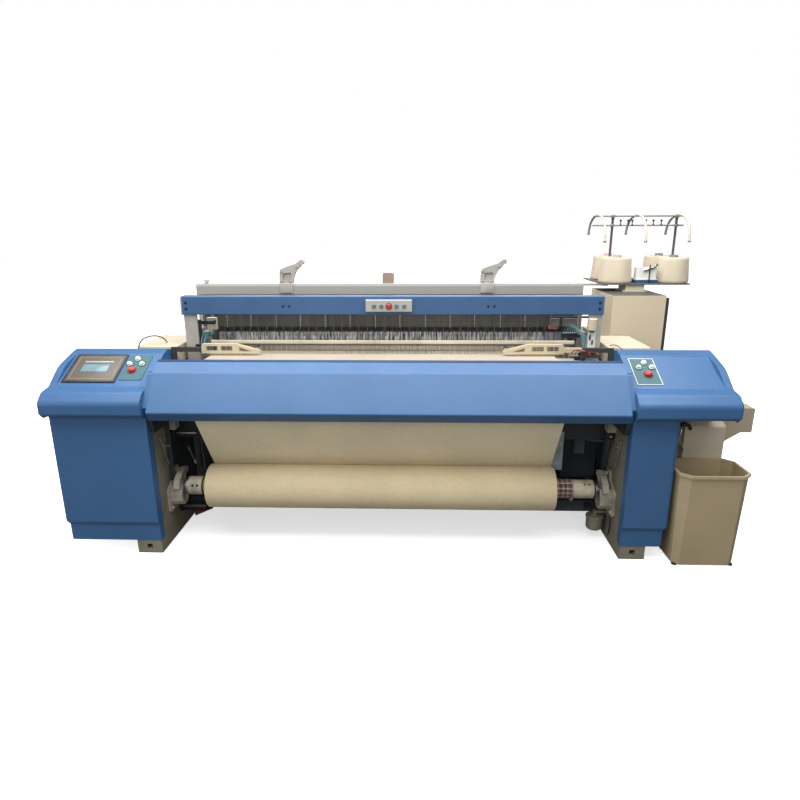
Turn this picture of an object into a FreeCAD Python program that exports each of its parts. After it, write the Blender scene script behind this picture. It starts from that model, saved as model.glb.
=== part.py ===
import FreeCAD, Part
import math
import os

# Air-jet power loom.  Millimetres, +Z up, +X to the weaver's right, the weaver stands at -Y.
# Shapes are drawn in loom coordinates: x from the loom's centre line, y from the breast edge of
# the front cover, z from the floor.  save() moves each piece so that the origin of the finished
# part is the middle of its footprint on the floor.

# ---------------------------------------------------------------- driving dimensions
SHEET = 2.5                 # folded steel covers
RUN = 0.05                  # radial running clearance of a journal in its hole
TOUCH = 0.3                 # clearance of soft goods and free-standing faces

LEG_FRONT = 54.0
SKIRT_IN = 12.0             # step of the leg covers near the foot

FRAME_INNER = 1252.5        # inner face of each side frame from the centre line
FRAME_THICK = 135.5
FRAME_FRONT = LEG_FRONT + SKIRT_IN + SHEET
FRAME_REAR = 1600.0
FRAME_FRONT_TOP = 795.0     # under the head covers
FRAME_TOP = 985.0           # under the deck covers
FRAME_HORN_TOP = 1035.0     # round the back-rest bearing
FRAME_WEB = 22.0            # inner wall of the casting
FRAME_RIB = 16.0
FRAME_BASE = 25.0           # thickness of the base flange
FRAME_STEP = (545.0, 560.0) # where the top rises behind the head covers
FRAME_BAYS = 4
FRAME_ROWS = 2
ANCHOR_R = 9.0              # floor anchor holes
ANCHOR_Y = (150.0, 1450.0)
FOOT_WINDOW = 30.0          # square lifting socket in the front of each foot

COVER_HALF = 1222.0         # front cover half length
COVER_LIP = (50.0, 779.0)
COVER_NOSE = (0.0, 832.0)
COVER_CREASE = (129.0, 1013.0)
COVER_REAR = (224.0, 1064.0)
LEDGE_T = 11.0              # depth of the ledge that the front cover rests on

HEAD_INNER = 1250.0
HEAD_LEFT_OUTER = 1780.0
HEAD_RIGHT_OUTER = 1760.0
HEAD_BOTTOM = FRAME_FRONT_TOP
HEAD_NOSE_TOP = 905.0
HEAD_REAR = 500.0
PANEL_FRONT = (120.0, 943.0)
PANEL_REAR = (360.0, 1068.0)
HEAD_CREST = (430.0, 1086.0)
HEAD_EDGE_R = 34.0

LEG_BOTTOM = 81.0
LEG_LEFT_OUTER = 1770.0
LEG_RIGHT_OUTER = 1490.0
LEG_LEFT_DEPTH = 440.0
LEG_RIGHT_DEPTH = 220.0
SKIRT_TOP = 195.0
SKIRT_BOTTOM = 172.0

CLOTH_LEFT = -1020.0
CLOTH_RIGHT = 920.0
CLOTH_T = 0.8
WARP_T = 0.8
WEAVE_Z = 1040.0            # level of cloth and warp at a closed shed
FELL_Y = 506.0
WARP_HALF = 1040.0
WARP_FRONT_Y = 900.0

EXPANDER = (262.0, 20.0)    # y, radius of the smooth bar behind the front cover
TAKE_UP_R = 80.0
TAKE_UP = (345.0, 948.0)
PRESS_R = 30.0
PRESS_ANGLE = -50.0
GUIDE_BAR = (125.0, 790.0, 20.0)

ROLL_AXIS = (275.0, 320.0)
ROLL_R = 123.0
TUBE_R = 50.0
TUBE_BORE_R = 44.0
TUBE_HALF = 1146.0
SPINDLE_R = 18.0
SPINDLE_HALF = 1215.0
COLLAR_T = 6.0              # collar of a spindle, against the end of the tube
PLUG_DEPTH = 40.0

REED_Y = 600.0
REED_HALF = 1060.0
REED_TOP = 1103.0
REED_BOTTOM = 985.0
REED_CAP_H = 20.0
REED_DEPTH = 12.0
DENT_PITCH = 30.0
DENT_W = 1.6
SLEY_AXIS = (660.0, 700.0)
SLEY_TUBE_R = 45.0
SLEY_JOURNAL_R = 25.0
SLEY_HALF = 1100.0
SWORD_COUNT = 6
SWORD_W = 28.0

HEALD_FRAME_HALF = 1120.0
HEALD_FRAME_PITCH = 20.0
HEALD_FRAME_DEPTH = 12.0
HEALD_FRAME_Y = 800.0
HEALD_FRAMES = 4
HEALD_RAIL_H = 80.0
HEALD_LENGTH = 390.0
HEALD_PITCH = 52.0
HEALD_W = 2.6
HEALD_T = 1.0
HEALD_STRUT = 24.0

BEAM_HALF = 1209.0
BEAM_FRONT = 583.0
BEAM_DEPTH = 70.0
BEAM_BOTTOM = 1254.0
BEAM_H = 106.0
BEAM_WALL = 4.0
POST_OUTER = 1209.0
POST_Y = (598.0, 648.0)

RAIL_Y = (940.0, 985.0)
RAIL_Z = (1330.0, 1402.0)
RAIL_X = (-1248.0, 1182.0)

WARP_AXIS = (1280.0, 500.0)
WARP_BARREL_R = 75.0
WARP_YARN_R = 340.0
FLANGE_R = 400.0
FLANGE_T = 16.0
FLANGE_INNER = 1050.0
FLANGE_RIM = 34.0
FLANGE_RIBS = 6
BACK_REST_R = 55.0
BACK_REST_Y = 1520.0
JOURNAL_R = 25.0

CABINET = (FRAME_INNER + FRAME_THICK, 1740.0, 1000.0, 1500.0, 60.0, 1318.0)
CABINET_WALL = 4.0
DOOR_T = 18.0
TRAY = (1392.0, 1972.0, 1250.0, 1775.0, 1362.0, 8.0)
CONE_BOTTOM_R = 110.0
CONE_TOP_R = 96.0
CONE_H = 168.0
CORE_R = 27.0
BEND_CHORDS = 4             # straight chords in each bend of a bar
CONES = ((1505.0, 1375.0), (1886.0, 1375.0), (1525.0, 1650.0), (1890.0, 1650.0))

BIN_CENTRE = (1679.0, 112.0)
BIN_TOP = (364.0, 262.0, 524.0)
BIN_BOTTOM = (320.0, 200.0)
BIN_WALL = 4.0
BIN_RIM = 8.0

# Lying on the sloping panels: x range, then distances up the slope from its front edge.
DISPLAY = (-1720.0, -1436.0, 28.0, 258.0)
PLATE_LEFT = (-1425.0, -1300.0, 50.0, 256.0)
PLATE_RIGHT = (1283.0, 1413.0, 28.0, 239.0)
LID_RIGHT = (1455.0, 1690.0, 20.0, 262.0)
BUTTONS_LEFT = ((-1374.0, 222.0), (-1404.0, 178.0), (-1337.0, 178.0), (-1375.0, 126.0))
BUTTONS_RIGHT = ((1357.0, 202.0), (1321.0, 164.0), (1388.0, 165.0), (1356.0, 107.0))
PLATE_T = 3.0
PANEL_HOLE = 10.0           # margin of the hole in a head under a display or plate

CHEEK_W = 42.0              # raised outer margin beside each sloping panel
CHEEK_RISE = 24.0
CHEEK_R = 230.0

BUTTON_TRAVEL = 4.0
BUTTON_GAP = 0.5            # under a cap that is pressed right in
CAP_R = 10.5
CAP_H = 8.0
MUSHROOM_R = 18.0
STEM = 10.0                 # square stems
STEM_DEPTH = 14.0
STEM_CLEAR = 0.3
BEAM_BUTTON_X = (-93.0, -51.0, -8.0, 36.0, 79.0)
BEAM_BUTTON_Z = 1306.0
BEAM_STOP = 2
BEAM_STOP_R = 15.0
BOX_DEPTH = 24.0            # button box on the harness beam

LATCH_PIVOT = (ROLL_AXIS[0] + 63.0, ROLL_AXIS[1] + 69.0)
LATCH_PIN_R = 8.0
CRADLE_X = (1172.0, 1240.0)
LATCH_X = (1178.0, 1212.0)

HINGE_R = 4.0
DOOR_GAP = 2.0

LEFT_END = -HEAD_LEFT_OUTER
RIGHT_END = CONES[3][0] + CONE_BOTTOM_R
FRONT_END = BIN_CENTRE[1] - BIN_TOP[1] / 2
REAR_END = TRAY[3]
ORIGIN = FreeCAD.Vector((LEFT_END + RIGHT_END) / 2, (FRONT_END + REAR_END) / 2, 0.0)

SLOPE = math.atan2(PANEL_REAR[1] - PANEL_FRONT[1], PANEL_REAR[0] - PANEL_FRONT[0])


# ---------------------------------------------------------------- shape helpers
def vec(x, y, z):
    return FreeCAD.Vector(x, y, z)


def box(x0, x1, y0, y1, z0, z1):
    return Part.makeBox(x1 - x0, y1 - y0, z1 - z0, vec(x0, y0, z0))


def rod_x(x0, x1, y, z, r):
    return Part.makeCylinder(r, x1 - x0, vec(x0, y, z), vec(1, 0, 0))


def rod_z(x, y, z0, z1, r):
    return Part.makeCylinder(r, z1 - z0, vec(x, y, z0), vec(0, 0, 1))


def fused(shapes):
    shape = shapes[0]
    if len(shapes) > 1:
        shape = shape.multiFuse(shapes[1:])
    return shape.removeSplitter()


def group(shapes):
    return Part.makeCompound(shapes)


def mirrored(shape):
    return shape.mirror(vec(0, 0, 0), vec(1, 0, 0))


def corner(previous, point, following, radius):
    """Tangent points and middle of the arc that rounds one corner of an outline."""
    before = (previous - point).normalize()
    after = (following - point).normalize()
    half = before.getAngle(after) / 2
    reach = radius / math.tan(half)
    bisector = (before + after).normalize()
    middle = point + bisector * (radius / math.sin(half) - radius)
    return point + before * reach, middle, point + after * reach


def rounded_edges(points, radii, closed=True):
    """Straight runs joined by tangent arcs through a list of vectors."""
    count = len(points)
    starts = []
    arcs = []
    ends = []
    for i, point in enumerate(points):
        radius = radii[i] if isinstance(radii, (list, tuple)) else radii
        inner = closed or 0 < i < count - 1
        if radius > 0 and inner:
            a, m, b = corner(points[i - 1], point, points[(i + 1) % count], radius)
            starts.append(a)
            arcs.append(Part.Arc(a, m, b).toShape())
            ends.append(b)
        else:
            starts.append(point)
            arcs.append(None)
            ends.append(point)
    edges = []
    last = count if closed else count - 1
    for i in range(count):
        if arcs[i] is not None:
            edges.append(arcs[i])
        if i < last:
            a, b = ends[i], starts[(i + 1) % count]
            if a.distanceToPoint(b) > 1e-6:
                edges.append(Part.LineSegment(a, b).toShape())
    return edges


def outline(points, radii=0.0):
    return Part.Face(Part.Wire(Part.__sortEdges__(rounded_edges(points, radii))))


def along_x(yz, x0, x1, radii=0.0):
    face = outline([vec(x0, y, z) for y, z in yz], radii)
    return face.extrude(vec(x1 - x0, 0, 0))


def along_y(xz, y0, y1, radii=0.0):
    face = outline([vec(x, y0, z) for x, z in xz], radii)
    return face.extrude(vec(0, y1 - y0, 0))


def along_z(xy, z0, z1, radii=0.0):
    face = outline([vec(x, y, z0) for x, y in xy], radii)
    return face.extrude(vec(0, 0, z1 - z0))


def inset(points, wall):
    """Closed outline moved inwards by a wall, for points that run anticlockwise."""
    count = len(points)
    moved = []
    for i in range(count):
        ax, ay = points[i - 1]
        bx, by = points[i]
        cx, cy = points[(i + 1) % count]
        d1 = math.hypot(bx - ax, by - ay)
        d2 = math.hypot(cx - bx, cy - by)
        n1 = (-(by - ay) / d1, (bx - ax) / d1)
        n2 = (-(cy - by) / d2, (cx - bx) / d2)
        share = wall / (1 + n1[0] * n2[0] + n1[1] * n2[1])
        moved.append((bx + (n1[0] + n2[0]) * share, by + (n1[1] + n2[1]) * share))
    return moved


def strip(path, radii, thickness):
    """Outline points and radii of a folded sheet whose left face follows an open path."""
    count = len(path)
    back = []
    back_radii = []
    for i in range(count):
        bx, by = path[i]
        ax, ay = path[i - 1] if i > 0 else (2 * bx - path[1][0], 2 * by - path[1][1])
        cx, cy = path[i + 1] if i < count - 1 else (2 * bx - ax, 2 * by - ay)
        d1 = math.hypot(bx - ax, by - ay)
        d2 = math.hypot(cx - bx, cy - by)
        n1 = ((by - ay) / d1, -(bx - ax) / d1)
        n2 = ((cy - by) / d2, -(cx - bx) / d2)
        share = thickness / (1 + n1[0] * n2[0] + n1[1] * n2[1])
        back.append((bx + (n1[0] + n2[0]) * share, by + (n1[1] + n2[1]) * share))
        turn = (bx - ax) * (cy - by) - (by - ay) * (cx - bx)
        grow = thickness if turn > 0 else -thickness
        back_radii.append(max(radii[i] + grow, 0.0) if radii[i] > 0 else 0.0)
    return path + back[::-1], list(radii) + back_radii[::-1]


def save(name, shape):
    moved = shape.copy()
    moved.translate(-ORIGIN)
    moved.exportStep(os.path.join("parts", name + ".step"))


# ---------------------------------------------------------------- frame and stays
def frame_profile():
    return [(FRAME_FRONT, 0), (FRAME_REAR, 0), (FRAME_REAR, FRAME_HORN_TOP),
            (BACK_REST_Y - 75, FRAME_HORN_TOP), (BACK_REST_Y - 120, FRAME_TOP),
            (FRAME_STEP[1], FRAME_TOP), (FRAME_STEP[0], FRAME_FRONT_TOP),
            (FRAME_FRONT, FRAME_FRONT_TOP)]


def side_frame_left():
    """Cast box frame: a flat inner wall with a ribbed, open outer side."""
    x_in = -FRAME_INNER
    x_out = x_in - FRAME_THICK
    radii = [6, 6, 40, 30, 30, 20, 20, 12]
    body = along_x(frame_profile(), x_out, x_in, radii)
    bay = (FRAME_REAR - FRAME_FRONT - FRAME_RIB) / FRAME_BAYS
    pockets = []
    for i in range(FRAME_BAYS):
        y0 = FRAME_FRONT + FRAME_RIB + i * bay
        y1 = y0 + bay - FRAME_RIB
        top = FRAME_TOP if y0 > FRAME_STEP[1] else FRAME_FRONT_TOP
        row = (top - FRAME_BASE - FRAME_RIB) / FRAME_ROWS
        for k in range(FRAME_ROWS):
            z0 = FRAME_BASE + k * row
            corners = [(y0, z0), (y1, z0), (y1, z0 + row - FRAME_RIB), (y0, z0 + row - FRAME_RIB)]
            pockets.append(along_x(corners, x_out - 1, x_in - FRAME_WEB, 18.0))
    body = body.cut(group(pockets))
    holes = [rod_x(x_out - 1, x_in + 1, SLEY_AXIS[0], SLEY_AXIS[1], SLEY_JOURNAL_R + RUN),
             rod_x(x_out - 1, x_in + 1, WARP_AXIS[0], WARP_AXIS[1], JOURNAL_R + RUN),
             rod_x(x_out - 1, x_in + 1, BACK_REST_Y, back_rest_z(), JOURNAL_R + RUN)]
    for y in ANCHOR_Y:
        holes.append(rod_z(x_in - FRAME_THICK / 2, y, -1, FRAME_BASE + 1, ANCHOR_R))
    socket_z = 42.0
    socket_x = (x_in + x_out) / 2
    holes.append(box(socket_x - FOOT_WINDOW / 2, socket_x + FOOT_WINDOW / 2, FRAME_FRONT - 1,
                     FRAME_FRONT + FRAME_RIB + 1, socket_z - FOOT_WINDOW / 2,
                     socket_z + FOOT_WINDOW / 2))
    return body.cut(group(holes))


def back_rest_z():
    return WEAVE_Z - WARP_T / 2 - TOUCH - BACK_REST_R


def cross_stays():
    """Box stays and smooth cloth bars that tie the two side frames."""
    x = FRAME_INNER
    front = box(-x, x, 430, 540, 560, 690).cut(box(-x - 1, x + 1, 438, 532, 568, 682))
    rear = box(-x, x, 800, 900, 120, 220).cut(box(-x - 1, x + 1, 808, 892, 128, 212))
    low = rod_x(-x, x, 470, 190, 30)
    return group([front, rear, low])


def breast_brackets():
    """Plates inside the frames that carry the rollers and the front cover."""
    x0 = COVER_HALF + 1.5
    x1 = HEAD_INNER - 1.5
    under = SHEET
    profile = [(90, 700), (500, 700), (500, 880), (450, 1012), (COVER_REAR[0] + 20, 1045),
               (COVER_REAR[0] - 4, COVER_REAR[1] - under - 4.5),
               (COVER_CREASE[0] + 2, COVER_CREASE[1] - under - 3.0),
               (COVER_NOSE[0] + 26, COVER_NOSE[1] + 22), (60, 800)]
    plate = along_x(profile, x0, x1, [20, 20, 20, 20, 0, 0, 0, 8, 8])
    pad = box(x1 - 1, FRAME_INNER, 120, 480, 705, HEAD_BOTTOM - 4)
    rise = math.atan2(COVER_REAR[1] - COVER_CREASE[1], COVER_REAR[0] - COVER_CREASE[0])
    ledge = []
    for along, down in ((15, SHEET), (15, LEDGE_T), (92, LEDGE_T), (92, SHEET)):
        ledge.append((COVER_CREASE[0] + along * math.cos(rise) + down * math.sin(rise),
                      COVER_CREASE[1] + along * math.sin(rise) - down * math.cos(rise)))
    plate = fused([plate, pad, along_x(ledge, COVER_HALF - 14, x1)])
    press = press_axis()
    holes = [rod_x(x0 - 1, FRAME_INNER + 1, EXPANDER[0], expander_z(), 12 + RUN),
             rod_x(x0 - 1, FRAME_INNER + 1, TAKE_UP[0], TAKE_UP[1], JOURNAL_R + RUN),
             rod_x(x0 - 1, FRAME_INNER + 1, press[0], press[1], 12 + RUN),
             rod_x(x0 - 1, FRAME_INNER + 1, GUIDE_BAR[0], GUIDE_BAR[1], 12 + RUN)]
    plate = plate.cut(group(holes))
    return group([plate, mirrored(plate)])


def expander_z():
    return WEAVE_Z - CLOTH_T / 2 - TOUCH - EXPANDER[1]


def press_axis():
    reach = TAKE_UP_R + PRESS_R + 2 * TOUCH + CLOTH_T + 0.3
    t = math.radians(PRESS_ANGLE)
    return TAKE_UP[0] + reach * math.cos(t), TAKE_UP[1] + reach * math.sin(t)


def roller(y, z, r, journal_r, face_half, end_half):
    return fused([rod_x(-face_half, face_half, y, z, r), rod_x(-end_half, end_half, y, z, journal_r)])


def cloth_bars():
    """Fixed smooth bars that the cloth slides over, held in the breast brackets."""
    end = HEAD_INNER - 1.5
    face = COVER_HALF - 4
    expander = roller(EXPANDER[0], expander_z(), EXPANDER[1], 12, face, end)
    guide = roller(GUIDE_BAR[0], GUIDE_BAR[1], GUIDE_BAR[2], 12, face, end)
    return group([expander, guide])


# ---------------------------------------------------------------- covers
def front_cover():
    """One folded sheet, from the drip lip round the breast edge to the rear rim."""
    rear_fold = (COVER_REAR[0] + 6.0, COVER_REAR[1] - 10.0)
    path = [rear_fold, COVER_REAR, COVER_CREASE, COVER_NOSE, COVER_LIP]
    points, radii = strip(path, [0, 3, 8, 10, 0], -SHEET)
    sheet = along_x(points, -COVER_HALF, COVER_HALF, radii)
    return sheet


def head_profile():
    return [(30, HEAD_BOTTOM), (HEAD_REAR, HEAD_BOTTOM), (HEAD_REAR, 1050), HEAD_CREST,
            PANEL_REAR, PANEL_FRONT, (48, HEAD_NOSE_TOP + 25), (0, HEAD_NOSE_TOP - 20), (0, 822)]


def head_shell(x_inner, x_outer):
    """Rounded head housing, open underneath, drawn for the right-hand side."""
    profile = head_profile()
    radii = [14, 6, 20, 40, 30, 26, 40, 40, 14]
    panel = profile.index(PANEL_FRONT)
    bulge = ((PANEL_FRONT[0] + PANEL_REAR[0]) / 2 - CHEEK_RISE * math.sin(SLOPE),
             (PANEL_FRONT[1] + PANEL_REAR[1]) / 2 + CHEEK_RISE * math.cos(SLOPE))
    cheek_profile = profile[:panel] + [bulge] + profile[panel:]
    cheek_radii = radii[:panel] + [CHEEK_R] + radii[panel:]
    inner_part = along_x(profile, x_inner, x_outer - CHEEK_W, radii)
    outer = fused([inner_part, along_x(cheek_profile, x_outer - CHEEK_W, x_outer, cheek_radii)])
    rim = [e for e in outer.Edges if abs(e.BoundBox.XMin - x_outer) < 0.01
           and abs(e.BoundBox.XMax - x_outer) < 0.01 and e.BoundBox.ZMax > HEAD_BOTTOM + 1
           and e.BoundBox.YMin < HEAD_REAR - 1]
    outer = outer.makeFillet(10.0, rim)
    hollow = inset(profile, SHEET)
    hollow[0] = (hollow[0][0], HEAD_BOTTOM - 5)
    hollow[1] = (hollow[1][0], HEAD_BOTTOM - 5)
    inner_radii = [0, 0, 17.5, 42.5, 32.5, 28.5, 37.5, 37.5, 11.5]
    inner = along_x(hollow, x_inner + SHEET, x_outer - 9.0, inner_radii)
    return outer.cut(inner)


def on_slope(x, s, lift, shape):
    """Place a shape drawn flat at the origin onto the sloping panel of a head."""
    shape.rotate(vec(0, 0, 0), vec(1, 0, 0), math.degrees(SLOPE))
    shape.translate(vec(x, PANEL_FRONT[0] + s * math.cos(SLOPE) - lift * math.sin(SLOPE),
                        PANEL_FRONT[1] + s * math.sin(SLOPE) + lift * math.cos(SLOPE)))
    return shape


def slab(x0, x1, s0, s1, low, high, radius):
    """Rounded plate lying on a slope: x and s are its extents, low and high its faces."""
    flat = along_z([(0, 0), (x1 - x0, 0), (x1 - x0, s1 - s0), (0, s1 - s0)], low, high, radius)
    return on_slope(x0, s0, 0.0, flat)


def panel_hole(area):
    """Cutter for the hole under a display or plate that lies on a head's panel."""
    x0, x1, s0, s1 = area
    m = PANEL_HOLE
    return slab(x0 + m, x1 - m, s0 + m, s1 - m, -12.0, 5.0, 4.0)


def head_cover_left():
    shape = mirrored(head_shell(HEAD_INNER, HEAD_LEFT_OUTER))
    return shape.cut(group([panel_hole(DISPLAY), panel_hole(PLATE_LEFT)]))


def head_cover_right():
    shape = head_shell(HEAD_INNER, HEAD_RIGHT_OUTER)
    lid = slab(*LID_RIGHT, -1.0, 5.0, 10.0)
    return shape.cut(group([panel_hole(PLATE_RIGHT), lid]))


def display_unit():
    """Touch panel: a raised bezel round a sunk screen, with its case below the panel."""
    x0, x1, s0, s1 = DISPLAY
    bezel = slab(x0, x1, s0, s1, 0, 6, 5)
    screen = slab(x0 + 22, x1 - 22, s0 + 22, s1 - 22, 4.5, 8, 2)
    case = slab(x0 + 14, x1 - 14, s0 + 14, s1 - 14, -32, 0.5, 4)
    return fused([bezel.cut(screen), case])


def button_plates():
    plates = []
    for plate, buttons in ((PLATE_LEFT, BUTTONS_LEFT), (PLATE_RIGHT, BUTTONS_RIGHT)):
        body = slab(*plate, 0.0, PLATE_T, 6.0)
        holes = []
        for x, s in buttons:
            holes.append(on_slope(x, s, 0.0, stem(STEM + 2 * STEM_CLEAR, -4, 8)))
        plates.append(body.cut(group(holes)))
    return group(plates)


def stem(width, z0, z1):
    return box(-width / 2, width / 2, -width / 2, width / 2, z0, z1)


def push_button(cap_r, height):
    """Cap on a square stem, drawn upright with the face it stands on at z = 0."""
    base = BUTTON_TRAVEL + BUTTON_GAP
    cap = Part.makeCylinder(cap_r, height, vec(0, 0, base))
    return fused([cap, stem(STEM, -STEM_DEPTH, base + 1)])


def mushroom_button(radius, height):
    """Wide stop button with a bevelled top, on the same stem."""
    base = BUTTON_TRAVEL + BUTTON_GAP + 1.0
    cap = Part.makeCylinder(radius, height, vec(0, 0, base))
    cap = cap.makeChamfer(height / 2, [e for e in cap.Edges if e.BoundBox.ZMin > base + height - 0.1])
    return fused([cap, stem(STEM, -STEM_DEPTH, base + 1)])


def leg_cover(outer, depth, sign):
    """Folded skirt round the front of a side frame, with a step near its foot."""
    def tray(z0, z1, shrink0, shrink1):
        def ring(z, shrink, wall):
            y0 = LEG_FRONT + shrink + wall
            x0 = HEAD_INNER + (wall if wall else 0)
            x1 = outer - shrink - wall
            y1 = LEG_FRONT + depth + (5 if wall else 0)
            points = [vec(x0, y0, z), vec(x1, y0, z), vec(x1, y1, z), vec(x0, y1, z)]
            radii = [0, 22 - wall, 0, 0]
            return Part.Wire(Part.__sortEdges__(rounded_edges(points, radii)))
        solid = Part.makeLoft([ring(z0, shrink0, 0), ring(z1, shrink1, 0)], True, True)
        hollow = Part.makeLoft([ring(z0, shrink0, SHEET), ring(z1, shrink1, SHEET)], True, True)
        return solid.cut(hollow)
    upper = tray(SKIRT_TOP, HEAD_BOTTOM, 0, 0)
    bevel = tray(SKIRT_BOTTOM, SKIRT_TOP, SKIRT_IN, 0)
    lower = tray(LEG_BOTTOM, SKIRT_BOTTOM, SKIRT_IN, SKIRT_IN)
    shape = fused([upper, bevel, lower])
    trim = box(HEAD_INNER - 5, HEAD_INNER + SHEET + 1, LEG_FRONT + 62, LEG_FRONT + depth + 10,
               LEG_BOTTOM - 5, HEAD_BOTTOM + 5)
    shape = shape.cut(trim)
    return shape if sign > 0 else mirrored(shape)


def deck_covers():
    """Cream lids over the tops of the side frames, behind the head covers."""
    profile = [(522, FRAME_TOP), (925, FRAME_TOP), (925, 1070), (900, 1080), (522, 1080)]
    radii = [0, 0, 8, 8, 8]
    outer = along_x(profile, 1235, 1470, radii)
    inner = along_x([(526, FRAME_TOP - 5), (921, FRAME_TOP - 5), (921, 1067), (898, 1076),
                     (526, 1076)], 1239, 1466, [0, 0, 5, 5, 5])
    cover = outer.cut(inner)
    return group([cover, mirrored(cover)])


def drive_cover():
    """Cream housing of the belt drive outside the right-hand frame."""
    x0 = FRAME_INNER + FRAME_THICK
    outline_xz = [(x0, 430), (1640, 430), (1850, 606), (1920, 652), (1982, 652), (1982, 790),
                  (x0, 790)]
    outer = along_y(outline_xz, 300, 900, [0, 10, 10, 8, 6, 6, 0])
    hollow = [(x0 - 5, 434), (1638, 434), (1848, 610), (1919, 656), (1978, 656), (1978, 786),
              (x0 - 5, 786)]
    inner = along_y(hollow, 304, 896, [0, 6, 6, 4, 2, 2, 0])
    return outer.cut(inner)


def waste_chute():
    """Cream chute plate that hangs over the back of the waste bin."""
    x0, x1 = 1600.0, 1815.0
    profile = [(250, 440), (300, 440), (300, 732), (284, 732), (250, 700)]
    body = along_x(profile, x0, x1, [2, 0, 0, 20, 20])
    hollow = along_x([(253, 430), (297, 430), (297, 728), (286, 728), (253, 697)],
                     x0 + 3, x1 - 3, [0, 0, 0, 17, 17])
    body = body.cut(hollow)
    mask = along_y([(x0, 430), (x1, 430), (x1, 735), (x0, 735)], 240, 305, [0, 0, 38, 38])
    return body.common(mask)


# ---------------------------------------------------------------- harness portal
def harness_beam():
    x = BEAM_HALF
    y0, y1 = BEAM_FRONT, BEAM_FRONT + BEAM_DEPTH
    z0, z1 = BEAM_BOTTOM, BEAM_BOTTOM + BEAM_H
    section = [(y0, z0), (y1, z0), (y1, z1), (y0, z1)]
    tube = along_x(section, -x, x, 6.0)
    tube = tube.cut(along_x(inset(section, BEAM_WALL), -x + 3, x - 3, 2.0))
    holes = []
    for side in (-1, 1):
        for z in (z0 + 33, z0 + 68):
            holes.append(Part.makeCylinder(6.5, 12, vec(side * (x - 22), y0 - 2, z), vec(0, 1, 0)))
        for dx in (-18, 18):
            holes.append(Part.makeCylinder(6.5, 12, vec(side * 588 - 13 + dx, y0 - 2, z0 + 48),
                                           vec(0, 1, 0)))
    return tube.cut(group(holes))


def beam_posts():
    """Castings that carry the harness beam and guide the heald frames."""
    guide_inner = HEALD_FRAME_HALF + 0.5
    y_back = HEALD_FRAME_Y + (HEALD_FRAMES - 1) * HEALD_FRAME_PITCH + 30
    profile = [(POST_Y[0], 900), (y_back, 900), (y_back, 1120), (y_back - 20, 1140),
               (700, 1140), (POST_Y[1], 1175), (POST_Y[1], BEAM_BOTTOM), (POST_Y[0], BEAM_BOTTOM)]
    plate = along_x(profile, 1181, POST_OUTER, [6, 6, 10, 10, 30, 10, 0, 0])
    face = along_y([(1134, 905), (1185, 905), (1185, BEAM_BOTTOM), (1134, BEAM_BOTTOM)],
                   POST_Y[0], POST_Y[0] + 14, [6, 0, 0, 0])
    lug = box(POST_OUTER - 2, FRAME_INNER, POST_Y[0], POST_Y[0] + 90, 905, 975)
    lug_back = box(POST_OUTER - 2, FRAME_INNER, y_back - 70, y_back, 905, 975)
    guide = box(guide_inner, 1183, HEALD_FRAME_Y - 14, y_back, 960, 1120)
    left = fused([plate, face, lug, lug_back, guide])
    slots = []
    for z in (1085, 1125):
        slots.append(along_y([(1146, z), (1160, z), (1160, z + 26), (1146, z + 26)],
                             POST_Y[0] - 2, POST_Y[0] + 20, 6.5))
    return group([mirrored(left), left.cut(group(slots))])


def rear_rail():
    """Box rail with capped ends on two flat columns, each footed on its side frame."""
    rail_section = [(RAIL_Y[0], RAIL_Z[0]), (RAIL_Y[1], RAIL_Z[0]), (RAIL_Y[1], RAIL_Z[1]),
                    (RAIL_Y[0], RAIL_Z[1])]
    x0, x1 = RAIL_X
    rail = along_x(rail_section, x0, x1, 5.0)
    rail = rail.cut(along_x(inset(rail_section, 3.0), x0 + 3, x1 - 3, 2.0))
    left = box(x0 + 2, x0 + 26, RAIL_Y[0], RAIL_Y[1], 890, RAIL_Z[0])
    right = box(x1 - 32, x1 - 2, RAIL_Y[0], RAIL_Y[1], 890, RAIL_Z[0])
    left_lug = box(-FRAME_INNER, x0 + 4, RAIL_Y[0], RAIL_Y[1] + 20, 895, 965)
    right_lug = box(x1 - 4, FRAME_INNER, RAIL_Y[0], RAIL_Y[1] + 20, 895, 965)
    knob = fused([rod_z(x0 + 68, RAIL_Y[0] + 12, RAIL_Z[1], RAIL_Z[1] + 8, 9),
                  rod_z(x0 + 68, RAIL_Y[0] + 12, RAIL_Z[1] + 8, RAIL_Z[1] + 22, 17)])
    return group([rail, fused([left, left_lug]), fused([right, right_lug]), knob])


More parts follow.
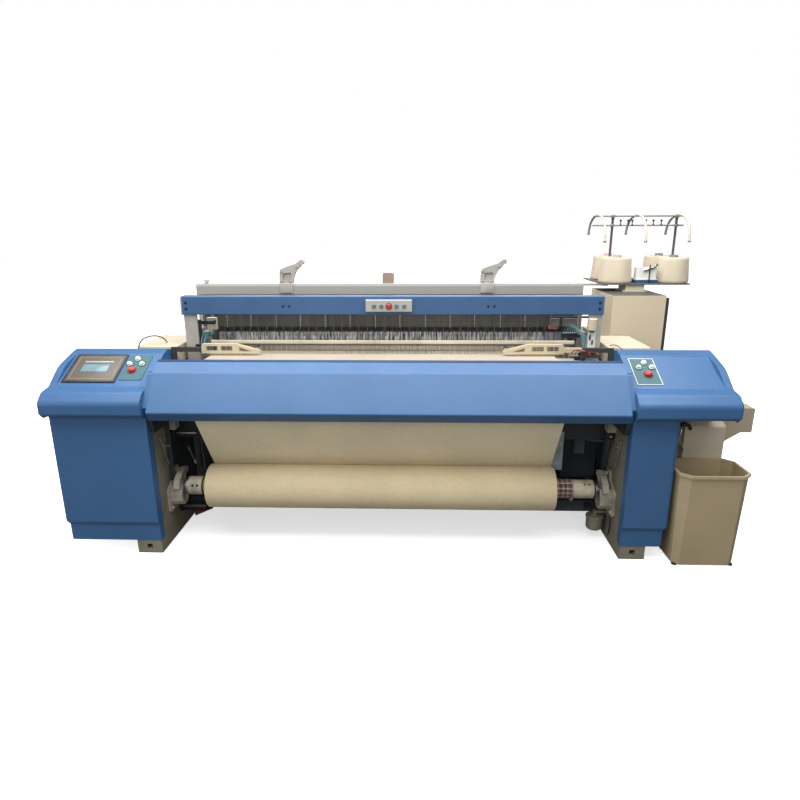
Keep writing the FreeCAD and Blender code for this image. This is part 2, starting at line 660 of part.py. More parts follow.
def rail_brackets():
    """Cast arms on the rear rail, each ending in a clamp jaw that leans to the right."""
    arms = []
    for x in (-670.0, 590.0):
        base = [(x - 46, RAIL_Z[1]), (x + 40, RAIL_Z[1]), (x + 42, RAIL_Z[1] + 30),
                (x + 62, RAIL_Z[1] + 74), (x + 92, RAIL_Z[1] + 104), (x + 104, RAIL_Z[1] + 140),
                (x + 78, RAIL_Z[1] + 134), (x + 56, RAIL_Z[1] + 118), (x + 8, RAIL_Z[1] + 104),
                (x - 42, RAIL_Z[1] + 84)]
        arm = along_y(base, RAIL_Y[0] + 6, RAIL_Y[1] - 6, [0, 0, 14, 18, 12, 0, 0, 0, 20, 14])
        window = along_y([(x - 24, RAIL_Z[1] + 18), (x + 22, RAIL_Z[1] + 18),
                          (x + 34, RAIL_Z[1] + 66), (x - 22, RAIL_Z[1] + 62)],
                         RAIL_Y[0], RAIL_Y[0] + 18, 8.0)
        bolt = Part.makeCylinder(7, 60, vec(x + 70, RAIL_Y[0] - 8, RAIL_Z[1] + 104), vec(0, 1, 0))
        jaw = Part.makeCylinder(15, RAIL_Y[1] - RAIL_Y[0] - 4,
                                vec(x + 98, RAIL_Y[0] + 2, RAIL_Z[1] + 128), vec(0, 1, 0))
        arms.append(fused([arm.cut(window), bolt, jaw]))
    return group(arms)


def signal_lamp():
    x0, x1 = -66.0, 4.0
    y0, y1 = RAIL_Y[0] + 2, RAIL_Y[1] - 2
    body = along_y([(x0, RAIL_Z[1]), (x1, RAIL_Z[1]), (x1, RAIL_Z[1] + 64), (x0, RAIL_Z[1] + 64)],
                   y0, y1, [0, 0, 12, 12])
    return body


def beam_button_box():
    front = BEAM_FRONT - BOX_DEPTH
    plate = box(-141, 124, front, BEAM_FRONT, 1273, 1342)
    plate = plate.makeChamfer(4.0, [e for e in plate.Edges if e.BoundBox.YMax < front + 0.1])
    wells = []
    for x in BEAM_BUTTON_X:
        wells.append(on_beam(x, stem(STEM + 2 * STEM_CLEAR, -20, 4)))
    return plate.cut(group(wells))


def on_beam(x, shape):
    """Turn a shape drawn upright to face the weaver, on the button box."""
    shape.rotate(vec(0, 0, 0), vec(1, 0, 0), 90)
    shape.translate(vec(x, BEAM_FRONT - BOX_DEPTH, BEAM_BUTTON_Z))
    return shape


def beam_button(index):
    if index == BEAM_STOP:
        return on_beam(BEAM_BUTTON_X[index], mushroom_button(BEAM_STOP_R, 9.0))
    return on_beam(BEAM_BUTTON_X[index], push_button(CAP_R - 1, 6.0))


# ---------------------------------------------------------------- sley, reed, healds
def sley():
    """Rocking shaft, cast swords and the grooved reed holder that swing together."""
    y, z = SLEY_AXIS
    pieces = [rod_x(-SLEY_HALF, SLEY_HALF, y, z, SLEY_TUBE_R),
              rod_x(-FRAME_INNER - FRAME_WEB, FRAME_INNER + FRAME_WEB, y, z, SLEY_JOURNAL_R)]
    holder = [(REED_Y - 26, REED_BOTTOM - 45), (REED_Y + 26, REED_BOTTOM - 45),
              (REED_Y + 26, REED_BOTTOM - 8), (REED_Y + 12, REED_BOTTOM + 12),
              (REED_Y + REED_DEPTH / 2, REED_BOTTOM + 12), (REED_Y + REED_DEPTH / 2, REED_BOTTOM),
              (REED_Y - REED_DEPTH / 2, REED_BOTTOM), (REED_Y - REED_DEPTH / 2, REED_BOTTOM + 12),
              (REED_Y - 16, REED_BOTTOM + 12), (REED_Y - 26, REED_BOTTOM - 8)]
    pieces.append(along_x(holder, -SLEY_HALF, SLEY_HALF))
    span = 2 * (SLEY_HALF - 60)
    sword = [(y - 34, z - 10), (y + 34, z - 10), (y + 30, z + 40), (REED_Y + 20, REED_BOTTOM - 44),
             (REED_Y - 20, REED_BOTTOM - 44), (y - 40, z + 40)]
    for i in range(SWORD_COUNT):
        x = -SLEY_HALF + 60 + span * i / (SWORD_COUNT - 1)
        pieces.append(along_x(sword, x - SWORD_W / 2, x + SWORD_W / 2, [10, 10, 30, 0, 0, 30]))
    return fused(pieces)


def reed():
    """Comb of flat dents between two baulks, open for the warp to pass."""
    half = REED_DEPTH / 2
    cap = along_x([(REED_Y - half - 2, REED_TOP - REED_CAP_H), (REED_Y + half + 2,
                   REED_TOP - REED_CAP_H), (REED_Y + half + 2, REED_TOP),
                  (REED_Y - half - 2, REED_TOP)], -REED_HALF, REED_HALF, 3.0)
    foot = box(-REED_HALF, REED_HALF, REED_Y - half, REED_Y + half, REED_BOTTOM,
               REED_BOTTOM + 14)
    dents = []
    count = int(2 * REED_HALF / DENT_PITCH)
    start = -(count - 1) * DENT_PITCH / 2
    for i in range(count):
        x = start + i * DENT_PITCH
        dents.append(box(x - DENT_W / 2, x + DENT_W / 2, REED_Y - half + 2, REED_Y + half - 2,
                         REED_BOTTOM + 10, REED_TOP - REED_CAP_H + 5))
    return cap.multiFuse([foot] + dents)


def main_nozzle():
    """Air barrel on a block at the insertion end of the sley."""
    x0 = REED_HALF + 2
    y = REED_Y - 8
    z = WEAVE_Z
    block = box(x0 + 2, SLEY_HALF, y - 16, y + 16, REED_BOTTOM + 12, z + 18)
    barrel = rod_x(x0 - 18, x0 + 42, y - 24, z, 5)
    collar = rod_x(x0 + 4, SLEY_HALF + 8, y - 24, z, 9)
    return fused([block, barrel, collar])


def heald_frame(index):
    """Frame of two rails and two struts, strung with flat healds."""
    y0 = HEALD_FRAME_Y + index * HEALD_FRAME_PITCH - HEALD_FRAME_DEPTH / 2
    y1 = y0 + HEALD_FRAME_DEPTH
    half_opening = HEALD_LENGTH / 2
    z_top = WEAVE_Z + half_opening
    z_low = WEAVE_Z - half_opening
    x = HEALD_FRAME_HALF
    parts = [box(-x, x, y0, y1, z_top, z_top + HEALD_RAIL_H),
             box(-x, x, y0, y1, z_low - HEALD_RAIL_H, z_low),
             box(-x, -x + HEALD_STRUT, y0, y1, z_low - 5, z_top + 5),
             box(x - HEALD_STRUT, x, y0, y1, z_low - 5, z_top + 5)]
    y = (y0 + y1) / 2
    count = int((2 * x - 2 * HEALD_STRUT) / HEALD_PITCH) - 1
    start = -(count - 1) * HEALD_PITCH / 2
    for i in range(count):
        hx = start + i * HEALD_PITCH
        parts.append(box(hx - HEALD_W / 2, hx + HEALD_W / 2, y - HEALD_T / 2, y + HEALD_T / 2,
                         z_low - 4, z_top + 4))
    shape = parts[0].multiFuse(parts[1:])
    return shape


def temples():
    """Lattice castings over each cloth edge, with two windows and a pointed nose."""
    y0, y1 = 455.0, 481.0
    x = (CLOTH_LEFT - 50, CLOTH_LEFT + 150, CLOTH_LEFT + 285)
    z0, z1 = WEAVE_Z + 12, WEAVE_Z + 66
    body = along_y([(x[0], z0), (x[2], z0), (x[2], z0 + 16), (x[1], z1), (x[0], z1)],
                   y0, y1, [0, 5, 0, 12, 8])
    windows = []
    for k in range(2):
        a = x[0] + 26 + k * 84
        windows.append(box(a, a + 66, y0 - 1, y1 + 1, z0 + 14, z1 - 12))
    windows.append(along_y([(x[1] + 16, z0 + 12), (x[1] + 84, z0 + 12), (x[1] + 16, z1 - 18)],
                           y0 - 1, y1 + 1))
    body = body.cut(group(windows))
    knob = rod_z(x[2] - 14, (y0 + y1) / 2, z0 + 10, z0 + 34, 7)
    cylinder = rod_x(x[0] + 30, x[1] + 40, (y0 + y1) / 2, WEAVE_Z + 8, 7)
    drop = box(-HEAD_INNER + 1.5, -COVER_HALF - 1.5, y0 + 2, y1 - 2, 1012, z0 + 34)
    arm = box(-HEAD_INNER + 1.5, x[0] + 12, y0 + 2, y1 - 2, z0 + 8, z0 + 34)
    left = fused([body, knob, cylinder, arm, drop])
    shift = CLOTH_LEFT + CLOTH_RIGHT
    right = mirrored(fused([body, knob, cylinder]))
    right.translate(vec(shift, 0, 0))
    long_arm = box(-x[0] + shift - 12, HEAD_INNER - 1.5, y0 + 2, y1 - 2, z0 + 8, z0 + 34)
    return group([left, fused([right, long_arm, mirrored(drop)])])


def stop_motion():
    """Dropper bars over the warp, between two end plates on the frames."""
    y0, y1 = 1130.0, 1250.0
    plate = along_x([(y0, 960), (y1, 960), (y1, 1078), (y0, 1078)], 1090, 1104, 10.0)
    foot = box(1102, FRAME_INNER, y0 + 20, y1 - 20, 930, 962)
    end = fused([plate, foot, box(1090, 1106, y0 + 20, y1 - 20, 935, 965)])
    bars = [rod_x(-1091, 1091, y0 + 20 + k * 27, 1058, 6) for k in range(4)]
    return fused([end, mirrored(end)] + bars)


# ---------------------------------------------------------------- cloth and warp
def circle_point(centre, radius, angle):
    return centre[0] + radius * math.cos(angle), centre[1] + radius * math.sin(angle)


def run_heading(c1, signed1, c2, signed2):
    """Heading of the straight run between two circles.

    A radius is positive where the circle lies to the left of the run and negative to the right.
    """
    dy, dz = c2[0] - c1[0], c2[1] - c1[1]
    return math.atan2(dz, dy) - math.asin((signed2 - signed1) / math.hypot(dy, dz))


def face_edges(x, start, start_heading, wraps):
    """Edges of one face of a sheet that runs from a point round several circles."""
    edges = []
    point = start
    heading = start_heading
    for i, (centre, signed) in enumerate(wraps):
        sign = 1 if signed > 0 else -1
        radius = abs(signed)
        touch = circle_point(centre, radius, heading - sign * math.pi / 2)
        edges.append(Part.LineSegment(vec(x, *point), vec(x, *touch)).toShape())
        point = touch
        if i == len(wraps) - 1:
            break
        following = run_heading(centre, signed, *wraps[i + 1])
        turn = (following - heading) % (2 * math.pi)
        if sign < 0:
            turn -= 2 * math.pi
        steps = 2 if abs(turn) > 2.8 else 1
        for k in range(steps):
            a0 = heading - sign * math.pi / 2 + turn * k / steps
            a1 = heading - sign * math.pi / 2 + turn * (k + 1) / steps
            p0, pm, p1 = [circle_point(centre, radius, a) for a in (a0, (a0 + a1) / 2, a1)]
            edges.append(Part.Arc(vec(x, *p0), vec(x, *pm), vec(x, *p1)).toShape())
            point = p1
        heading = following
    return edges, point


def wrapped_sheet(x0, x1, start_y, direction, circles, thickness):
    """Sheet level at the weaving line that then wraps circles of (centre, radius, side)."""
    heading = math.pi if direction < 0 else 0.0
    faces = []
    for left in (True, False):
        wraps = []
        for centre, radius, side in circles:
            inner = (side > 0) == left
            grown = radius + TOUCH + (0.0 if inner else thickness)
            wraps.append((centre, side * grown))
        level = WEAVE_Z + (thickness / 2) * (direction if left else -direction)
        faces.append((face_edges(x0, (start_y, level), heading, wraps), (start_y, level)))
    (left_edges, left_end), left_start = faces[0]
    (right_edges, right_end), right_start = faces[1]
    caps = [Part.LineSegment(vec(x0, *left_start), vec(x0, *right_start)).toShape(),
            Part.LineSegment(vec(x0, *left_end), vec(x0, *right_end)).toShape()]
    edges = Part.__sortEdges__(left_edges + right_edges + caps)
    return Part.Face(Part.Wire(edges)).extrude(vec(x1 - x0, 0, 0))


def cloth():
    """Woven sheet from the fell, round the take-up and press rollers and down to the roll."""
    circles = [((EXPANDER[0], expander_z()), EXPANDER[1], 1), (TAKE_UP, TAKE_UP_R, 1),
               (press_axis(), PRESS_R, -1), (GUIDE_BAR[:2], GUIDE_BAR[2], 1),
               (ROLL_AXIS, ROLL_R, -1)]
    return wrapped_sheet(CLOTH_LEFT, CLOTH_RIGHT, FELL_Y, -1, circles, CLOTH_T)


def warp_sheet():
    """Warp threads as one sheet, from behind the healds over the back rest to the beam."""
    circles = [((BACK_REST_Y, back_rest_z()), BACK_REST_R, -1), (WARP_AXIS, WARP_YARN_R, -1)]
    return wrapped_sheet(-WARP_HALF, WARP_HALF, WARP_FRONT_Y, 1, circles, WARP_T)


def cloth_roll():
    y, z = ROLL_AXIS
    body = rod_x(CLOTH_LEFT, CLOTH_RIGHT, y, z, ROLL_R)
    return body.cut(rod_x(CLOTH_LEFT - 1, CLOTH_RIGHT + 1, y, z, TUBE_R + RUN))


def cloth_beam():
    """Tube that the cloth winds on, with a collared spindle plugged into each end."""
    y, z = ROLL_AXIS
    tube = rod_x(-TUBE_HALF, TUBE_HALF, y, z, TUBE_R)
    tube = tube.cut(rod_x(-TUBE_HALF - 1, TUBE_HALF + 1, y, z, TUBE_BORE_R))
    collar_end = TUBE_HALF + COLLAR_T
    plug = rod_x(TUBE_HALF - PLUG_DEPTH, TUBE_HALF, y, z, TUBE_BORE_R - RUN)
    collar = rod_x(TUBE_HALF, collar_end, y, z, TUBE_R)
    end = fused([plug, collar, rod_x(TUBE_HALF, SPINDLE_HALF, y, z, SPINDLE_R)])
    return group([tube, end, mirrored(end)])


def about_roll(points):
    """Outline drawn from the roll's axis, moved to where the axis is."""
    return [(ROLL_AXIS[0] + y, ROLL_AXIS[1] + z) for y, z in points]


def roll_brackets():
    """Castings on the frames with an open cradle for the spindle and a pin for the latch."""
    y, z = ROLL_AXIS
    x0, x1 = CRADLE_X
    plate = along_x(about_roll([(-72, -140), (70, -140), (91, -104), (91, 85), (70, 97), (37, 97),
                                (21, 45), (-72, -4)]),
                    x1 - 2, FRAME_INNER, [14, 14, 20, 12, 12, 12, 20, 14])
    cradle = along_x(about_roll([(-40, -104), (12, -104), (47, -62), (47, 14), (-42, 14),
                                 (-62, -30), (-62, -74)]),
                     x0, x1, [16, 16, 16, 4, 4, 12, 16])
    window = along_x(about_roll([(-34, -90), (6, -90), (33, -58), (33, -34), (-46, -34), (-46, -70)]),
                     x0 - 1, x1 - 2, 6.0)
    slot = fused([rod_x(x0 - 1, x1 - 2, y, z, SPINDLE_R + RUN),
                  box(x0 - 1, x1 - 2, y - SPINDLE_R - RUN, y + SPINDLE_R + RUN, z, z + 30)])
    bolts = []
    for by, bz in about_roll([(-52, -118), (66, -118), (72, -30), (-20, -70)]):
        bolts.append(rod_x(x1 - 10, x1 - 1, by, bz, 8))
    pin = rod_x(LATCH_X[0] - 4, x1, LATCH_PIVOT[0], LATCH_PIVOT[1], LATCH_PIN_R)
    boss = rod_x(LATCH_X[1] + 1, x1, LATCH_PIVOT[0], LATCH_PIVOT[1], 15)
    right = fused([plate, cradle.cut(group([window, slot])), boss, pin] + bolts)
    return group([mirrored(right), right])


def roll_latch(sign):
    """Hooked arm that closes over the spindle and swings up to free the roll."""
    low = SPINDLE_R + TOUCH
    profile = about_roll([(81, 55), (81, 85), (55, 91), (-7, 81), (-61, 49), (-77, 7), (-67, -1),
                          (-55, 3), (-43, low), (25, low), (43, 53)])
    arm = along_x(profile, LATCH_X[0], LATCH_X[1], [12, 12, 10, 20, 14, 5, 4, 4, 4, 10, 8])
    window = along_x(about_roll([(-29, 33), (21, 33), (37, 57), (41, 73), (-7, 65), (-37, 47)]),
                     LATCH_X[0] - 1, LATCH_X[1] + 1, 4.0)
    hole = rod_x(LATCH_X[0] - 1, LATCH_X[1] + 1, LATCH_PIVOT[0], LATCH_PIVOT[1],
                 LATCH_PIN_R + RUN)
    shape = arm.cut(group([window, hole]))
    return shape if sign > 0 else mirrored(shape)


def take_up_roller():
    end = HEAD_INNER - 1.5
    return roller(TAKE_UP[0], TAKE_UP[1], TAKE_UP_R, JOURNAL_R, COVER_HALF - 6, end)


def press_roller():
    y, z = press_axis()
    return roller(y, z, PRESS_R, 12, COVER_HALF - 6, HEAD_INNER - 1.5)


def warp_beam():
    """Barrel and shaft with two ribbed flanges."""
    y, z = WARP_AXIS
    x = FLANGE_INNER
    disc = rod_x(x, x + FLANGE_T, y, z, FLANGE_R)
    ring = rod_x(x, x + FLANGE_RIM, y, z, FLANGE_R).cut(
        rod_x(x - 1, x + FLANGE_RIM + 1, y, z, FLANGE_R - 14))
    hub = rod_x(x, x + FLANGE_RIM + 10, y, z, 120)
    ribs = []
    for k in range(FLANGE_RIBS):
        rib = box(x, x + 30, y - 6, y + 6, z + 60, z + FLANGE_R - 8)
        rib.rotate(vec(0, y, z), vec(1, 0, 0), 360.0 * k / FLANGE_RIBS)
        ribs.append(rib)
    flange = fused([disc, ring, hub] + ribs)
    barrel = rod_x(-x - 20, x + 20, y, z, WARP_BARREL_R)
    shaft = rod_x(-FRAME_INNER - FRAME_WEB, FRAME_INNER + FRAME_WEB, y, z, JOURNAL_R)
    return fused([barrel, shaft, flange, mirrored(flange)])


def warp_yarn():
    y, z = WARP_AXIS
    x = FLANGE_INNER - TOUCH
    return rod_x(-x, x, y, z, WARP_YARN_R).cut(rod_x(-x - 1, x + 1, y, z, WARP_BARREL_R + RUN))


def back_rest_roller():
    return roller(BACK_REST_Y, back_rest_z(), BACK_REST_R, JOURNAL_R, FRAME_INNER - 12,
                  FRAME_INNER + FRAME_WEB)


# ---------------------------------------------------------------- cabinet, creel, bin
def control_cabinet():
    x0, x1, y0, y1, z0, z1 = CABINET
    x1 -= DOOR_T + DOOR_GAP
    w = CABINET_WALL
    body = box(x0, x1, y0, y1, z0, z1)
    body = body.makeFillet(5.0, [e for e in body.Edges if e.BoundBox.XMin < x0 + 0.1
                                 and e.BoundBox.XLength < 0.1])
    body = body.cut(box(x0 + w, x1 + 1, y0 + w, y1 - w, z0 + w, z1 - w))
    backplate = box(x0 + w, x0 + w + 3, y0 + 40, y1 - 40, z0 + 60, z1 - 60)
    drives = [box(x0 + w + 3, x0 + w + 123, y0 + 70 + 130 * k, y0 + 170 + 130 * k, 880, 1180)
              for k in range(3)]
    supply = box(x0 + w + 3, x0 + w + 150, y0 + 80, y0 + 380, 260, 620)
    lugs = []
    hinge_x, hinge_y = door_axis()
    for low, high, p0, p1 in ((z1 - 14, z1 - 8, z1 - 30, z1 - 10), (z0 + 8, z0 + 14, z0 + 10, z0 + 30)):
        lugs.append(box(x1 - 1, hinge_x + 7, hinge_y - 8, y1, low, high))
        lugs.append(rod_z(hinge_x, hinge_y, p0, p1, HINGE_R))
    feet = [box(a, a + 50, b, b + 50, 0, z0) for a in (x0 + 20, x1 - 70) for b in (y0 + 20, y1 - 70)]
    return fused([body, backplate, supply] + drives + lugs + feet)


def door_axis():
    """Upright hinge line, in the middle of the door's round rear edge."""
    return CABINET[1] - DOOR_T / 2, CABINET[3] - DOOR_T / 2


def cabinet_door():
    x0, x1, y0, y1, z0, z1 = CABINET
    hx, hy = door_axis()
    low, high = z0 + 16, z1 - 16
    outer = fused([box(x1 - DOOR_T, x1, y0 + 2, hy, low, high), rod_z(hx, hy, low, high, DOOR_T / 2)])
    inner = box(x1 - DOOR_T - 1, x1 - 3, y0 + 22, y1 - 30, low + 22, high - 22)
    holes = [rod_z(hx, hy, low - 1, low + 20, HINGE_R + RUN),
             rod_z(hx, hy, high - 20, high + 1, HINGE_R + RUN)]
    return outer.cut(group([inner] + holes))


def creel_stand():
    """Post, thread tray with four cone pegs, and two flat side arms."""
    x0, x1, y0, y1, z, t = TRAY
    top = CABINET[5]
    tray = along_z([(x0, y0), (x1, y0), (x1, y1), (x0, y1)], z, z + t, 18.0)
    post = box(1547, 1671, y0 + 14, y0 + 164, top, z + 1)
    foot = box(1530, 1688, y0 + 4, y0 + 174, top, top + 6)
    arms = [box(1204, x0 + 40, y0 + 24 + 58 * k, y0 + 50 + 58 * k, z - 8, z + 1) for k in range(2)]
    pegs = [rod_z(cx, cy, z + t - 1, z + t + 130, 9) for cx, cy in CONES]
    return fused([tray, post, foot] + arms + pegs)


def tube_along(points, radii, r):
    """Round bar along straight runs, with each bend mitred in short chords."""
    path = [points[0]]
    for edge in rounded_edges(points, radii, closed=False):
        steps = 2 if isinstance(edge.Curve, Part.Line) else BEND_CHORDS + 1
        path.extend(edge.discretize(steps)[1:])
    heading = path[1] - path[0]
    ring = Part.Wire(Part.makeCircle(r, path[0], heading))
    return Part.makePolygon(path).makePipeShell([ring], True, True, 1)


def creel_guides():
    """Two uprights, two thread bars, three arched tension tubes and the guide pins."""
    y = (TRAY[2] + TRAY[3]) / 2
    base = TRAY[4] + TRAY[5]
    top = base + 437
    low = top - 62
    parts = [rod_z(1497, y, base, top + 8, 8), rod_z(1932, y, base, top + 8, 8),
             rod_x(1362, 1982, y, top, 5), rod_x(1362, 1984, y, low, 5)]
    for x in (1392.0, 1660.0, 1944.0):
        path = [vec(x, y - 212, top - 165), vec(x, y - 186, top + 6), vec(x, y + 170, top + 6),
                vec(x, y + 200, top - 120)]
        parts.append(tube_along(path, [0, 45, 45, 0], 8))
    for x in (1552.0, 1604.0, 1632.0, 1724.0, 1776.0, 1830.0):
        parts.append(rod_z(x, y, low, low + 38, 4))
    return fused(parts)


def yarn_cones():
    """Wound yarn packages on flared paper cores, standing on the tray."""
    base = TRAY[4] + TRAY[5]
    cones = []
    for cx, cy in CONES:
        b, t, h = CONE_BOTTOM_R, CONE_TOP_R, CONE_H
        points = [vec(CORE_R - 5, 0, 0), vec(b, 0, 0), vec(t, 0, h), vec(CORE_R, 0, h),
                  vec(CORE_R, 0, h + 6), vec(CORE_R - 5, 0, h + 6)]
        face = Part.Face(Part.makePolygon(points + points[:1]))
        cone = face.revolve(vec(0, 0, 0), vec(0, 0, 1), 360)
        cone.translate(vec(cx, cy, base))
        cones.append(cone)
    return group(cones)


def weft_feeder():
    """Thread store on the tray: blue foot, pale body and a crossed black tension arm."""
    base = TRAY[4] + TRAY[5]
    x0, x1, y0, y1 = 1618.0, 1760.0, 1282.0, 1372.0
    foot = box(x0, x1, y0, y1, base, base + 26)
    body = along_z([(x0 + 4, y0 + 6), (x1 - 4, y0 + 6), (x1 - 4, y1 - 6), (x0 + 4, y1 - 6)],
                   base + 25, base + 102, 14.0)
    stem = rod_z(x0 + 82, y0 + 1, base + 8, base + 120, 4)
    bar = tube_along([vec(x0 + 44, y0 + 1, base + 84), vec(x0 + 82, y0 + 1, base + 92),
                      vec(x0 + 126, y0 + 1, base + 112)], [0, 20, 0], 4)
    prong = rod_z(x0 + 118, y0 + 1, base + 104, base + 126, 4)
    return fused([foot, body, stem, bar, prong])


def bin_ring(size, chamfer, z, grow=0.0):
    """Corners of an eight-sided outline round the bin's centre."""
    cx, cy = BIN_CENTRE
    hx, hy = size[0] / 2 + grow, size[1] / 2 + grow
    quarter = [(hx - chamfer, -hy), (hx, -hy + chamfer)]
    half = quarter + [(x, -y) for x, y in quarter[::-1]]
    ring = half + [(-x, -y) for x, y in half]
    return [vec(cx + x, cy + y, z) for x, y in ring]


def frustum(low, high):
    """Solid between two outlines with the same number of corners, with flat sides."""
    count = len(low)
    faces = [Part.Face(Part.makePolygon(ring + ring[:1])) for ring in (low, high)]
    for i in range(count):
        k = (i + 1) % count
        faces.append(Part.Face(Part.makePolygon([low[i], low[k], high[k], high[i], low[i]])))
    return Part.makeSolid(Part.makeShell(faces))


def waste_bin():
    """Moulded bin: tapered eight-sided wall, thick rim, floor and four small feet."""
    top = BIN_TOP[2]
    foot = 6.0
    body_top = (BIN_TOP[0] - 2 * BIN_RIM, BIN_TOP[1] - 2 * BIN_RIM)
    solid = frustum(bin_ring(BIN_BOTTOM, 30, foot), bin_ring(body_top, 44, top))
    lip = frustum(bin_ring(BIN_TOP, 48, top - 14), bin_ring(BIN_TOP, 48, top))
    share = foot / (top - foot)
    floor_size = [BIN_BOTTOM[i] + (body_top[i] - BIN_BOTTOM[i]) * share for i in range(2)]
    hollow = frustum(bin_ring(floor_size, 30, 2 * foot, -BIN_WALL),
                     bin_ring(body_top, 44, top + 1, -BIN_WALL))
    feet = []
    for dx in (-1, 1):
        for dy in (-1, 1):
            x = BIN_CENTRE[0] + dx * (BIN_BOTTOM[0] / 2 - 46)
            y = BIN_CENTRE[1] + dy * (BIN_BOTTOM[1] / 2 - 40)
            feet.append(box(x - 14, x + 14, y - 10, y + 10, 0, foot + 1))
    return fused([solid.fuse(lip).cut(hollow)] + feet)


# ---------------------------------------------------------------- all the pieces
def buttons():
    pieces = {}
    for side, spots in (("left", BUTTONS_LEFT), ("right", BUTTONS_RIGHT)):
        for i, (x, s) in enumerate(spots):
            stop = i == len(spots) - 1
            shape = mushroom_button(MUSHROOM_R, 13.0) if stop else push_button(CAP_R, CAP_H)
            name = "stop_button_" + side if stop else "panel_button_%s_%d" % (side, i + 1)
            pieces[name] = on_slope(x, s, PLATE_T, shape)
    for i in range(len(BEAM_BUTTON_X)):
        name = "beam_stop_button" if i == BEAM_STOP else "beam_button_%d" % (i + 1)
        pieces[name] = beam_button(i)
    return pieces


def build():
    pieces = {
        "side_frame_left": side_frame_left(),
        "side_frame_right": mirrored(side_frame_left()),
        "cross_stays": cross_stays(),
        "breast_brackets": breast_brackets(),
        "cloth_bars": cloth_bars(),
        "front_cover": front_cover(),
        "head_cover_left": head_cover_left(),
        "head_cover_right": head_cover_right(),
        "leg_cover_left": leg_cover(LEG_LEFT_OUTER, LEG_LEFT_DEPTH, -1),
        "leg_cover_right": leg_cover(LEG_RIGHT_OUTER, LEG_RIGHT_DEPTH, 1),
        "deck_covers": deck_covers(),
        "drive_cover": drive_cover(),
        "waste_chute": waste_chute(),
        "display_unit": display_unit(),
        "button_plates": button_plates(),
        "beam_button_box": beam_button_box(),
        "harness_beam": harness_beam(),
        "beam_posts": beam_posts(),
        "rear_rail": rear_rail(),
        "rail_brackets": rail_brackets(),
        "signal_lamp": signal_lamp(),
        "sley": sley(),
        "reed": reed(),
        "main_nozzle": main_nozzle(),
        "heald_frames_odd": group([heald_frame(0), heald_frame(2)]),
        "heald_frames_even": group([heald_frame(1), heald_frame(3)]),
        "temples": temples(),
        "stop_motion": stop_motion(),
        "cloth": cloth(),
        "warp_sheet": warp_sheet(),
        "cloth_roll": cloth_roll(),
        "cloth_beam": cloth_beam(),
        "roll_brackets": roll_brackets(),
        "roll_latch_left": roll_latch(-1),
        "roll_latch_right": roll_latch(1),
        "take_up_roller": take_up_roller(),
        "press_roller": press_roller(),
        "warp_beam": warp_beam(),
        "warp_yarn": warp_yarn(),
        "back_rest_roller": back_rest_roller(),
        "control_cabinet": control_cabinet(),
        "cabinet_door": cabinet_door(),
        "creel_stand": creel_stand(),
        "creel_guides": creel_guides(),
        "yarn_cones": yarn_cones(),
        "weft_feeder": weft_feeder(),
        "waste_bin": waste_bin(),
    }
    pieces.update(buttons())
    return pieces


if __name__ == "__main__":
    os.makedirs("parts", exist_ok=True)
    for name, shape in build().items():
        save(name, shape)
        print(name, "solids", len(shape.Solids), "valid", shape.isValid(),
              "litres", round(shape.Volume / 1e6, 3))
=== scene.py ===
import logging
import math
from dataclasses import dataclass
from enum import Enum
from functools import partial
from typing import Callable, Optional, Sequence

import bpy
from mathutils import Matrix, Vector


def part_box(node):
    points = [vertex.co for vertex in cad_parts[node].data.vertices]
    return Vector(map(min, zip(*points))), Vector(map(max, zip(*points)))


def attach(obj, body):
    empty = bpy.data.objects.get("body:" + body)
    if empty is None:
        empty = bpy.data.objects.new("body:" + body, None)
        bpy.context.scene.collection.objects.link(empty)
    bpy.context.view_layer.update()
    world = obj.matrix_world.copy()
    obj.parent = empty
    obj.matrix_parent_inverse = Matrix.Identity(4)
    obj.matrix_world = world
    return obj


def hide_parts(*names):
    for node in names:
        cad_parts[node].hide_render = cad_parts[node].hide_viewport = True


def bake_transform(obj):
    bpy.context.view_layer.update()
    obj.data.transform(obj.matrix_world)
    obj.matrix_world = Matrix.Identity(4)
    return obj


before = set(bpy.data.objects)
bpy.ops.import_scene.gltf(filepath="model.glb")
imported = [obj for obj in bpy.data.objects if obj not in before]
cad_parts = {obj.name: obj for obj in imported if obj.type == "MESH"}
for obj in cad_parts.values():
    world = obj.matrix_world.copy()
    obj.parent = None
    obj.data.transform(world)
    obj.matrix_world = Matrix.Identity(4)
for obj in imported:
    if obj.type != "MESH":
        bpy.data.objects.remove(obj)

logging.basicConfig(level=logging.INFO, format="%(message)s")
LOG = logging.getLogger("loom")

MM = 0.001
RGB = tuple[float, float, float]
Place = tuple[float, float, float]
YZ = tuple[float, float]
Extents = tuple[float, float, float, float]
Profile = Sequence[tuple[float, float]]
Planes = Sequence[tuple[Vector, Vector]]
FaceTest = Callable[[Vector, Vector], bool]
Piece = bpy.types.Object
Material = bpy.types.Material
Socket = bpy.types.NodeSocket

# turns of an upright part: as it stands, its axis towards the weaver, its axis along the cloth
UPRIGHT = Matrix.Identity(3)
FORWARD = Matrix.Rotation(math.pi / 2, 3, "X")
ACROSS = Matrix.Rotation(math.pi / 2, 3, "Y")
ROLL_BODY = "cloth_roll_body"
# inner faces of the side frames, millimetres from the centre line
FRAME_FACE = 1252.3


